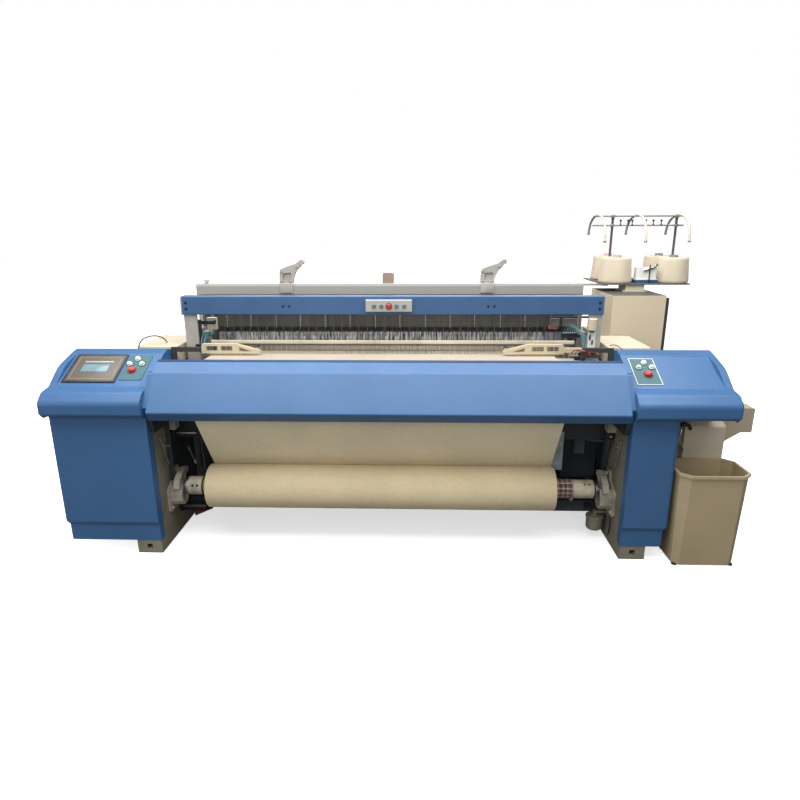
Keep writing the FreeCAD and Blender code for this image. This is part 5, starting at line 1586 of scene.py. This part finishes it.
# ---------------------------------------------------------------- portal
@dataclass(frozen=True)
class PortalGear:
    """Boxes, motor, end caps and plates on the harness portal and the rear rail."""

    BRACKETS = (-670, 590)

    def build(self) -> None:
        """Models the gear on the posts, the beam and the rail."""
        self._boxes()
        self._motor()
        self._beam_ends()
        self._post_plate()
        self._button_collars()
        self._temple_knobs()
        self._bracket_bolts()

    def _boxes(self) -> None:
        Bench.boxes(("left_valve_box", Surface.CABINET, (-1130, 742, 1140), (-1072, 776, 1214)),
                    ("right_valve_box", Surface.BOX_GREY, (1021, 742, 1163), (1103, 776, 1211)),
                    ("right_relay_box", Surface.BOX_GREY, (949, 742, 1163), (1003, 776, 1211)))
        corners = (((-1182, 700, 1180), (-1072, 712, 1200)),
                   ((-1084, 710, 1180), (-1072, 744, 1200)),
                   ((946, 754, 1210.5), (1183, 770, 1222)),
                   ((1170, 640, 1210.5), (1183, 770, 1222)))
        Bench.group("valve_box_arms", Surface.DARK,
                    [Bench.block(LOOM.at(*low), LOOM.at(*high), 2) for low, high in corners])
        Bench.boxes(("left_cable_duct", Surface.DARK, (-1163, 652, 1040), (-1146, 700, 1210),
                     3, -1, 1.5),
                    ("right_column", Surface.GREY_CASTING, (1102, 700, 1100), (1122, 716, 1240),
                     3, -1, 1.5),
                    ("relay_plug", Surface.PINK, (942, 745, 1146), (998, 763, 1163),
                     3, -1, 3))

    def _motor(self) -> None:
        profile = [(19, 0), (23, 1.5), (24, 5)]
        for fin in range(5):
            start = 8 + fin * 9.0
            profile += [(23, start), (25.6, start + 1.2), (25.6, start + 6),
                        (23, start + 7.2)]
        profile += [(25, 56), (25, 64), (21, 68), (8, 69)]
        Bench.turned("selvedge_motor", Surface.CABINET, profile, [(1151, 570, 1168)], 36)
        Bench.boxes(("motor_bracket", Surface.GREY_CASTING, (1128, 594, 1172),
                     (1175, 598.3, 1236), 1))
        Bench.turned("motor_foot", Surface.BLACK,
                     [(12, 0), (14, 1), (14, 6), (17, 8), (17, 11)],
                     [(1151, 570, 1157.5)], 24)

    def _beam_ends(self) -> None:
        Bench.boxes(*((name, Surface.GREY_CASTING, (x0, 586, 1252), (x1, 652, 1358), 6, -1, 2)
                      for name, x0, x1 in (("beam_cap_left", -1219, -1209.2),
                                           ("beam_cap_right", 1209.2, 1215))))
        plugs = []
        for x, size, *heights in ((-1187, 9, 1287, 1322), (1187, 9, 1287, 1322),
                                  (-619, 7.5, 1302), (-583, 7.5, 1302),
                                  (557, 7.5, 1302), (593, 7.5, 1302)):
            profile = [(size, 0), (size, 1), (size - 1.5, 1.4), (size - 2, 0.6)]
            plugs += [Bench.turn(Bench.lathe(profile, 20), FORWARD, LOOM.at(x, 583.6, z))
                      for z in heights]
        Bench.group("beam_hole_plugs", Surface.BLACK, plugs)

    def _post_plate(self) -> None:
        Bench.boxes(("slotted_plate", Surface.WHITE, (1136, 592.5, 1048), (1180, 597.7, 1156),
                     4, -0.8, 1))
        Bench.group("plate_slots", Surface.BLACK,
                    [Bench.block(LOOM.at(x, 592.4, z), LOOM.at(x + 9, 593.8, z + 28), 0.6)
                     for x, z in ((1143, 1108), (1158, 1080))])

    def _button_collars(self) -> None:
        for index, node in enumerate(("beam_button_1", "beam_button_2", "beam_stop_button",
                                      "beam_button_4", "beam_button_5")):
            low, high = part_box(node)
            middle = (low + high) / 2
            radius = (high.x - low.x) / 2 / MM
            foot = Vector((middle.x, LOOM.at(0, 559, 0).y, middle.z))
            inner = radius + 0.4
            collar = Bench.ring([(inner, 0), (radius + 3.4, 0), (radius + 3.4, 2),
                                 (radius + 2.4, 3), (inner, 3)], 28)
            Bench.turn(collar, FORWARD, foot)
            Bench.finish("beam_collar_%d" % (index + 1),
                         Surface.BLACK if index == 2 else Surface.GREY_SCREW)

    def _temple_knobs(self) -> None:
        for name, x in (("temple_knob_left", -749), ("temple_knob_right", 649)):
            Bench.turned(name, Surface.BLACK,
                         [(7.2, 0), (9, 1), (9, 6), (7, 9), (4, 10)],
                         [(x, 468, 1086.2)], 24)

    def _bracket_bolts(self) -> None:
        Bench.turned("bracket_bolts", Surface.STEEL,
                     [(7, 0), (7, 4.5), (5.6, 6), (3, 6), (2.6, 3.6)],
                     [(x + dx, 946, 1402 + dz) for x in self.BRACKETS
                      for dx, dz in ((-30, 10), (24, 10), (-30, 72))], 6, FORWARD)
        Bench.group("bracket_flanges", Surface.GREY_CASTING,
                    [Bench.block(LOOM.at(x - 45, 932, 1342), LOOM.at(x + 39, 940, 1402), 2.5, 3)
                     for x in self.BRACKETS])


@dataclass(frozen=True)
class HoseRun:
    """One air tube or cable.

    Attributes:
        name: The piece's name.
        corners: Loom millimetres of its corners, from one end to the other.
        radius: Radius of the tube in millimetres.
        surface: Its finish.
        stiff: Whether it is a rod or a moulded elbow and no cord.
    """

    name: str
    corners: tuple[Place, ...]
    radius: float
    surface: Surface
    stiff: bool = False

    def build(self) -> None:
        path = Route.smooth([LOOM.at(*corner) for corner in self.corners])
        piece = Bench.hose(path, self.radius)
        Bench.finish(self.name, self.surface)
        length = Route.length(path)
        LOG.info("%s: %.3f m long", self.name, length)
        if self.stiff:
            return


class AirHoses:
    """Air tubes by the nozzles and cables over the deck covers."""

    FAN = 6

    def build(self) -> None:
        """Models every run and the blocks that the tubes plug into."""
        for run in self._runs():
            run.build()
        self._blocks()

    def _runs(self) -> list[HoseRun]:
        rows = []
        for k in range(self.FAN):
            x, end = 1020 + 13 * k, 1110 + 10 * k
            rows.append(("air_tube_right_%d" % (k + 1), (
                (x, 690, 1131), (x + 8, 686, 1192 - 7 * k), (end - 6, 620, 1176 - 12 * k),
                (end, 588, 1042.3)), 2, Surface.BLUE_HOSE if k % 3 else Surface.TEAL_HOSE))
        for k in range(4):
            x, end = -1084 - 9 * k, -1092 - 9 * k
            rows.append(("air_tube_left_%d" % (k + 1), (
                (x, 728, 1139), (x + 4, 690, 1100 + 6 * k), (end - 4, 640, 1140 + 5 * k),
                (end, 590, 1080.4)), 2.6, Surface.TEAL_HOSE if k % 2 else Surface.DEEP_TEAL))
        rows += [
            ("brown_cable_left", ((-1440, 468, 1070), (-1440, 486, 1122), (-1386, 560, 1140),
                                  (-1346, 622, 1110), (-1344, 640, 1081)), 4, Surface.BROWN_HOSE),
            ("brown_cable_right", ((1306, 470, 1070), (1296, 492, 1084), (1268, 536, 1096),
                                   (1256, 566, 1080.5)), 2.6, Surface.BROWN_HOSE)]
        for k, surface in enumerate((Surface.MAROON_HOSE, Surface.PINK, Surface.BLACK_HOSE,
                                     Surface.MAROON_HOSE)):
            x = 1010 + 20 * k
            rows.append(("signal_cable_%d" % (k + 1), (
                (x, 452, 1050), (x + 4, 440, 1078 - 4 * k), (x + 46, 430, 1084 - 5 * k),
                (x + 72, 446, 1060), (x + 96, 462, 1050 - 2 * k)), 3.2, surface))
        rows += [("lower_hose_%d" % (k + 1), (
            (1224, 312 + 16 * k, 612), (1224, 330 + 20 * k, 550), (1237, 380 + 22 * k, 480),
            (1240, 410 + 24 * k, 410)), 6.5, Surface.SLATE_HOSE) for k in range(3)]
        rows += [
            ("chute_elbow", ((1626, 250, 686), (1616, 230, 712), (1584, 226, 722),
                             (1566, 240, 712)), 9, Surface.BLACK_HOSE, True),
            ("chute_rod", ((1578, 244, 700), (1574, 232, 684), (1564, 230, 632),
                           (1590, 230, 584), (1598, 240, 566)), 4.5, Surface.STEEL, True),
            ("damper_cable", ((1244, 262, 200), (1246, 240, 150), (1246, 236, 90),
                              (1246, 262, 40)), 3, Surface.BLACK_HOSE)]
        return [HoseRun(*row) for row in rows]

    @staticmethod
    def _blocks() -> None:
        Bench.boxes(
            ("air_manifold_right", Surface.DARK_BLUE, (1010, 678, 1104), (1098, 702, 1130.7),
             3, -1, 2),
            ("manifold_arm_right", Surface.DARK, (1086, 700, 1104), (1183, 714, 1122), 2),
            ("air_terminal_right", Surface.BLACK, (1106, 577, 1024), (1180, 598.3, 1042),
             2, -0.8, 1.5),
            ("air_terminal_left", Surface.BLACK, (-1150, 577, 1063), (-1086, 598.3, 1080.1),
             2, -0.8, 1.5),
            ("cable_plug_left", Surface.WORN_CAST, (1000, 448, 1042), (1052, 470, 1056),
             2, -1, 2),
            ("cable_plug_right", Surface.DARK, (1078, 440, 1034), (1170, 474, 1050),
             2, -1, 2))
        Bench.turned("manifold_fittings", Surface.BRIGHT,
                     [(2.5, 0), (4.6, 0), (4.6, 6), (3.8, 8), (2.5, 8)],
                     [(1020 + 13 * k, 690, 1130.7) for k in range(AirHoses.FAN)], 14,
                     hollow=True)


# ---------------------------------------------------------------- under the breast
@dataclass(frozen=True)
class LowerGear:
    """Gearbox, pulley, bars and clamps that show under the front cover."""

    def build(self) -> None:
        """Models the gear inside both side frames, and the dark panels and screen that stand in for
        the shade inside them.
        """
        self._gearbox()
        self._pulley()
        self._shade_panels()
        self._left_gear()
        self._low_blocks()
        self._film()

    def _gearbox(self) -> None:
        Bench.boxes(
            ("take_up_gearbox", Surface.DARK_BLUE, (1019, 556, 266), (1236, 640, 558),
             12, -4, 8),
            ("gearbox_foot", Surface.DARK, (1230, 566, 380), (FRAME_FACE, 626, 520), 6),
            ("gearbox_lid", Surface.SLATE_BLUE, (1091, 536, 430), (1155, 556.5, 552),
             5, -2, 3))
        Bench.turned("gearbox_bolts", Surface.DARK,
                     [(8, 0), (8, 5), (6.4, 6.4), (3.4, 6.4), (2.8, 4)],
                     [(x, 556.5, z) for x in (1036, 1212) for z in (288, 412, 536)],
                     6, FORWARD)
        Bench.bent(8, (1120, 552, 540), (1120, 500, 548), (1180, 470, 536), (1234, 430, 552))
        Bench.finish("gearbox_oil_pipe", Surface.SLATE_HOSE)

    def _pulley(self) -> None:
        Bench.turned("belt_pulley", Surface.BLACK,
                     [(8, 0), (21, 0), (23, 2), (19, 5), (19, 9), (23, 12),
                      (21, 14), (8, 14)], [(1228, 318, 620)], 40, FORWARD,
                     hollow=True)
        Bench.turned("pulley_hub", Surface.BRIGHT,
                     [(7.6, 0), (7.6, 18), (5.6, 20), (3, 20), (2.6, 17)],
                     [(1228, 322, 620)], 24, FORWARD)
        for name, sign in (("left_clamp", -1), ("right_clamp", 1)):
            x0, x1 = sorted((FRAME_FACE * sign, 1200 * sign))
            Bench.boxes((name, Surface.WORN_CAST, (x0, 292, 646), (x1, 350, 700), 4, -2, 5))
        profile = [(6, 0), (6, 3), (4.6, 4.6), (2.4, 4.6), (2, 3)]
        Bench.group("frame_screws", Surface.BRIGHT,
                    [Bench.turn(Bench.lathe(profile, 14),
                                Matrix.Rotation(-sign * math.pi / 2, 3, "Y"),
                                LOOM.at(sign * 1252.5, 246, z))
                     for z in (610, 581, 552) for sign in (-1, 1)])

    def _shade_panels(self) -> None:
        # Dark panels on the frames' inner faces: painted shade, standing in for the shade inside
        # the frames.
        for name, sign, y0 in (("left_lining", -1, 266), ("right_lining", 1, 412)):
            x0, x1 = sorted((1251.9 * sign, 1243 * sign))
            Bench.boxes((name, Surface.SLATE, (x0, y0, 222), (x1, 640, 776), 24, -3, 3))
        # A dark screen across the loom behind the roll: painted shade that hides the lit floor
        # beneath the loom.
        Bench.boxes(("lint_screen", Surface.SLATE, (-1251.5, 772, 226), (1251.5, 776, 640),
                     30, -1, 1))

    def _left_gear(self) -> None:
        Bench.rod(LOOM.at(-FRAME_FACE, 320, 620), LOOM.at(-1096, 320, 620), 5)
        Bench.finish("left_sensing_rod", Surface.BRIGHT)
        Bench.turned("left_hand_knob", Surface.BLACK,
                     [(10, 0), (17, 2), (18, 8), (14, 14), (6, 15)],
                     [(-1226, 306, 628)], 28, FORWARD)
        Bench.bent(3.5, (-1242, 196, 596), (-1238, 232, 566), (-1238, 262, 574), (-1238, 290, 520),
                   (-1240, 300, 470))
        Bench.finish("left_pull_rod", Surface.WORN_CAST)
        Bench.group("left_link", Surface.STEEL,
                    [Bench.rod(LOOM.at(-1206, 470, 466), LOOM.at(-1181, 470, 388), 3.2, 12),
                     Bench.rod(LOOM.at(-1212, 462, 486), LOOM.at(-1206, 470, 462), 7, 16),
                     Bench.rod(LOOM.at(-1183, 470, 396), LOOM.at(-1170, 462, 378), 8, 16)])
        Bench.rod(LOOM.at(-1184, 600, 529), LOOM.at(-1170, 600, 212), 9)
        Bench.finish("left_strut", Surface.SLATE_BLUE)
        Bench.group("brake_levers", Surface.STEEL,
                    [Bench.bent(4.5, (x, 180, 640), (x, 214, 560), (x, 226, 520), (x, 262, 452))
                     for x in (-1246, 1246)])

    def _low_blocks(self) -> None:
        Bench.turned("left_spindle_guard", Surface.BLACK,
                     [(20, 0), (30, 1), (31, 6), (24, 8), (24, 150),
                      (22, 153), (8, 153)], [(-1238, 352, 152)], 36, ACROSS)
        Bench.boxes(
            ("left_low_block", Surface.SLATE, (-1240, 402, 118), (-1074, 440, 188), 8, -3, 4),
            ("right_low_block", Surface.SLATE, (948, 402, 118), (1196, 440, 188), 8, -3, 4),
            ("right_low_switch", Surface.BLACK, (1140, 386, 142), (1172, 404, 176), 3, -1.5, 3))
        Bench.turned("right_damper", Surface.CASTING,
                     [(26, 0), (38, 3), (44, 10), (46, 20), (46, 70),
                      (50, 72), (50, 84), (36, 88), (14, 88), (14, 116)],
                     [(1188, 338, 44)], 40)
        Bench.boxes(("damper_arm", Surface.CASTING, (1180, 322, 146), (FRAME_FACE, 354, 162), 4))

    def _film(self) -> None:
        film = Bench.bar(LOOM.at(925, 423.4, 372), LOOM.at(1000, 424.6, 606),
                         Bench.planes(0, 932.5, 7.5, 9) + Bench.planes(2, 381, 9, 25))
        Bench.crumple(film, 0.035, 0.010)
        Bench.finish("plastic_film", Surface.PLASTIC_WRAP)


# ---------------------------------------------------------------- covers
@dataclass(frozen=True)
class CoverTrim:
    """Strips, screws and handles on the covers."""

    def build(self) -> None:
        """Models the trim of the front cover, decks, legs and cabinet."""
        self._rear_strip()
        self._deck_screws()
        self._cabinet()
        self._foot_sockets()
        self._anchors()

    def _rear_strip(self) -> None:
        strip = Bench.block(Vector((-1221.5, 0, 0)) * MM, Vector((1221.5, 15.5, 2.2)) * MM, 0.6)
        Bench.turn(strip, Matrix.Rotation(math.atan2(51, 95), 3, "X"),
                   LOOM.at(0, 210.4, 1057.1))
        Bench.finish("rear_rubber_strip", Surface.NAVY)

    def _deck_screws(self) -> None:
        Bench.turned("deck_screws", Surface.BRIGHT,
                     [(6, 0), (6, 1.8), (3.6, 3.2), (3, 2)],
                     [(side * x, y, 1080) for side in (-1, 1) for x in (1250, 1452)
                      for y in (545, 880)], 14)

    def _cabinet(self) -> None:
        x = (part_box("cabinet_door")[1].x - LOOM.centre) / MM
        Bench.panel_box(LOOM.at(x + 0.2, 1030, 640), LOOM.at(x + 14, 1052, 760), 3, -1.5, 3)
        Bench.finish("door_handle", Surface.BLACK, "door_body")
        for name, z in (("door_louvres_high", 980), ("door_louvres_low", 180)):
            louvre = Bench.block(LOOM.at(x + 0.1, 1120, z), LOOM.at(x + 4, 1380, z + 10), 1.8, 1)
            Bench.repeat(louvre, Vector((0, 0, 22 * MM)), 9)
            Bench.finish(name, Surface.DARK, "door_body")

    def _foot_sockets(self) -> None:
        Bench.group("socket_plugs", Surface.BLACK,
                    [Bench.panel_box(LOOM.at(x - 19, 83.4, 30), LOOM.at(x + 19, 85.6, 61),
                                     3, -0.8, 0.8) for x in (-1324, 1312)])
        Bench.turned("bin_pads", Surface.BLACK,
                     [(13, 0), (15, 1), (15, 7), (12, 9)],
                     [(x, y, 0) for x in (1533, 1825) for y in (30, 192)], 16)

    def _anchors(self) -> None:
        Bench.turned("anchor_bolts", Surface.STEEL,
                     [(15, 0), (15, 2.5), (12, 3), (12, 12), (10, 13.5),
                      (7.5, 13.5), (7.5, 26), (6, 28)],
                     [(side * 1320.25, y, 25.1) for side in (-1, 1) for y in (150, 1450)], 6)


@dataclass(frozen=True)
class MachineBack:
    """Bearing caps, beam gear and guard tube at the sides and back of the loom."""

    def build(self) -> None:
        """Models the bearing caps, the beam gear and the guard tube."""
        self._bearing_caps()
        self._beam_gear()
        self._back_guard()

    def _bearing_caps(self) -> None:
        caps = []
        for side in (-1, 1):
            for y, z, r in ((660, 700, 62), (1280, 500, 78), (1520, 984.3, 56)):
                cap = Bench.lathe([(r, 0), (r, 5), (r - 4, 8), (r * 0.62, 9),
                                   (r * 0.58, 14), (r * 0.3, 15), (r * 0.26, 12)], 40)
                turn = Matrix.Rotation(side * math.pi / 2, 3, "Y")
                caps.append(Bench.turn(cap, turn, LOOM.at(side * 1274.7, y, z)))
        Bench.group("bearing_caps", Surface.GREY_CASTING, caps)

    def _beam_gear(self) -> None:
        faces, rim, tooth = 120, 0.3895, 0.009
        gear = Bench.ring([(60, 0), (388, 0), (392, 2), (392, 20), (388, 22),
                           (60, 22)], faces)
        Bench.pick(gear, lambda centre, normal: centre.xy.length > rim and int(
            (math.atan2(centre.y, centre.x) + math.pi) / math.tau * faces) % 2 == 0)
        bpy.ops.mesh.extrude_faces_move(TRANSFORM_OT_shrink_fatten={"value": tooth})
        bpy.ops.object.mode_set(mode="OBJECT")
        Bench.turn(gear, ACROSS, LOOM.at(1112, 1280, 500))
        Bench.finish("beam_gear", Surface.DARK, "warp_beam_body")

    def _back_guard(self) -> None:
        Bench.rod(LOOM.at(-FRAME_FACE, 1575, 560), LOOM.at(FRAME_FACE, 1575, 560), 16)
        Bench.finish("rear_guard_tube", Surface.STEEL)


# ---------------------------------------------------------------- studio
@dataclass(frozen=True)
class PhotoCamera:
    """Camera solved from the photograph.

    Attributes:
        place: Loom millimetres of the lens.
        pitch: Degrees looking down.
        yaw: Degrees turned to the left.
        roll: Degrees of tilt about the view.
        lens: Focal length in millimetres on a 36 mm wide sensor.
    """

    place: Place = (169.0, -2862.0, 1732.0)
    pitch: float = 15.97
    yaw: float = 1.94
    roll: float = -0.23
    lens: float = 27.0

    def build(self) -> None:
        """Adds the camera and makes it the scene's."""
        pitch, yaw, roll = (math.radians(v) for v in (self.pitch, self.yaw, self.roll))
        ahead = Vector((-math.sin(yaw), math.cos(yaw), 0.0))
        right = Vector((math.cos(yaw), math.sin(yaw), 0.0))
        up = Vector((0.0, 0.0, 1.0))
        view = math.cos(pitch) * ahead - math.sin(pitch) * up
        top = math.sin(pitch) * ahead + math.cos(pitch) * up
        side = math.cos(roll) * right + math.sin(roll) * top
        head = -math.sin(roll) * right + math.cos(roll) * top
        turn = Matrix((side, head, -view)).transposed()
        data = bpy.data.cameras.new("photo_camera")
        data.lens = self.lens
        data.sensor_width = 36.0
        data.clip_end = 60.0
        camera = bpy.data.objects.new("photo_camera", data)
        bpy.context.scene.collection.objects.link(camera)
        camera.matrix_world = Matrix.Translation(LOOM.at(*self.place)) @ turn.to_4x4()
        bpy.context.scene.camera = camera


@dataclass(frozen=True)
class Studio:
    """White floor and surround with soft light from above, as in a bright hall.

    Attributes:
        floor_half: Half the floor's side in metres.
        bounce: Share of light that the floor gives back to the loom.
        ambient: Strength of the surround as light.
        overhead: Watts of the big light above.
        front: Watts of the soft light before the loom.
        left: Watts of the soft light at the left.
        rear: Watts of the soft light behind the loom.
    """

    floor_half: float = 30.0
    bounce: float = 0.16
    ambient: float = 0.20
    overhead: float = 262.0
    front: float = 62.0
    left: float = 24.0
    rear: float = 90.0

    def build(self) -> None:
        """Adds floor, surround and lights."""
        self._floor()
        self._world()
        for name, place, aim, size, power in (
                ("overhead", (0.0, -150.0, 3600.0), (0, 0.06, -1), (5.6, 3.6), self.overhead),
                ("left", (-4200.0, -1600.0, 1700.0), (1.0, 0.45, -0.2), (3.0, 2.0), self.left),
                ("rear", (0.0, 5200.0, 2600.0), (0, -1.0, -0.35), (5.0, 2.5), self.rear),
                ("front", (-300.0, -4200.0, 2600.0), (0.05, 1.0, -0.35), (5.0, 2.5), self.front)):
            self._light(name, LOOM.at(*place), Vector(aim), size, power)
        bpy.context.scene.view_settings.view_transform = "Standard"

    def _floor(self) -> None:
        Bench.clear()
        bpy.ops.mesh.primitive_plane_add(size=2 * self.floor_half, location=(0, 0, 0))
        floor = bpy.context.object
        floor.name = "floor"
        tree = NodeTree("floor")
        place = tree.place()
        seen = tree.add("ShaderNodeLightPath").outputs["Is Camera Ray"]
        shade = tree.span(tree.noise(place, 0.4, 2.0), 0.3, 0.7, 0.0, 1.0)
        pale = tree.mix(shade, (0.88, 0.88, 0.88), (0.92, 0.92, 0.92))
        back = tree.mix(shade, (self.bounce,) * 3, (self.bounce * 1.1,) * 3)
        tree.join(tree.mix(seen, back, pale), tree.shader.inputs["Base Color"])
        far = tree.add("ShaderNodeVectorMath", operation="LENGTH")
        tree.join(place, far.inputs[0])
        lit = tree.span(far.outputs["Value"], 1.2, 3.2, 0.58, 1.2)
        tree.join(tree.maths("MULTIPLY", lit, seen), tree.shader.inputs["Emission Strength"])
        tree.shader.inputs["Emission Color"].default_value = (1.0, 1.0, 1.0, 1.0)
        tree.shader.inputs["Roughness"].default_value = 0.9
        tree.shader.inputs["Specular IOR Level"].default_value = 0.1
        floor.data.materials.append(tree.material)

    def _world(self) -> None:
        world = bpy.data.worlds.new("surround")
        bpy.context.scene.world = world
        world.use_nodes = True
        nodes, links = world.node_tree.nodes, world.node_tree.links
        background = nodes["Background"]
        path = nodes.new("ShaderNodeLightPath")
        level = nodes.new("ShaderNodeMapRange")
        level.inputs["To Min"].default_value = self.ambient
        level.inputs["To Max"].default_value = 1.0
        links.new(path.outputs["Is Camera Ray"], level.inputs["Value"])
        links.new(level.outputs["Result"], background.inputs["Strength"])
        background.inputs["Color"].default_value = (1.0, 1.0, 1.0, 1.0)

    @staticmethod
    def _light(name: str, place: Vector, aim: Vector, size: tuple[float, float],
               power: float) -> None:
        data = bpy.data.lights.new(name, "AREA")
        data.shape = "RECTANGLE"
        data.size, data.size_y = size
        data.energy = power
        light = bpy.data.objects.new(name, data)
        bpy.context.scene.collection.objects.link(light)
        light.matrix_world = Matrix.Translation(place) @ \
            aim.to_track_quat("-Z", "Y").to_matrix().to_4x4()


def main() -> None:
    """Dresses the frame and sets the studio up."""
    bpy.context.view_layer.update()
    CadFinishes().apply()
    for assembly in (HeadPanels(), Harness(), WarpThreads(), ClothGoods(), WarpGoods(),
                     YarnPackages(), CreelFrame(), RollEnds(), PortalGear(), AirHoses(),
                     LowerGear(), CoverTrim(), MachineBack()):
        assembly.build()
    PhotoCamera().build()
    Studio().build()


if __name__ == "__main__":
    main()
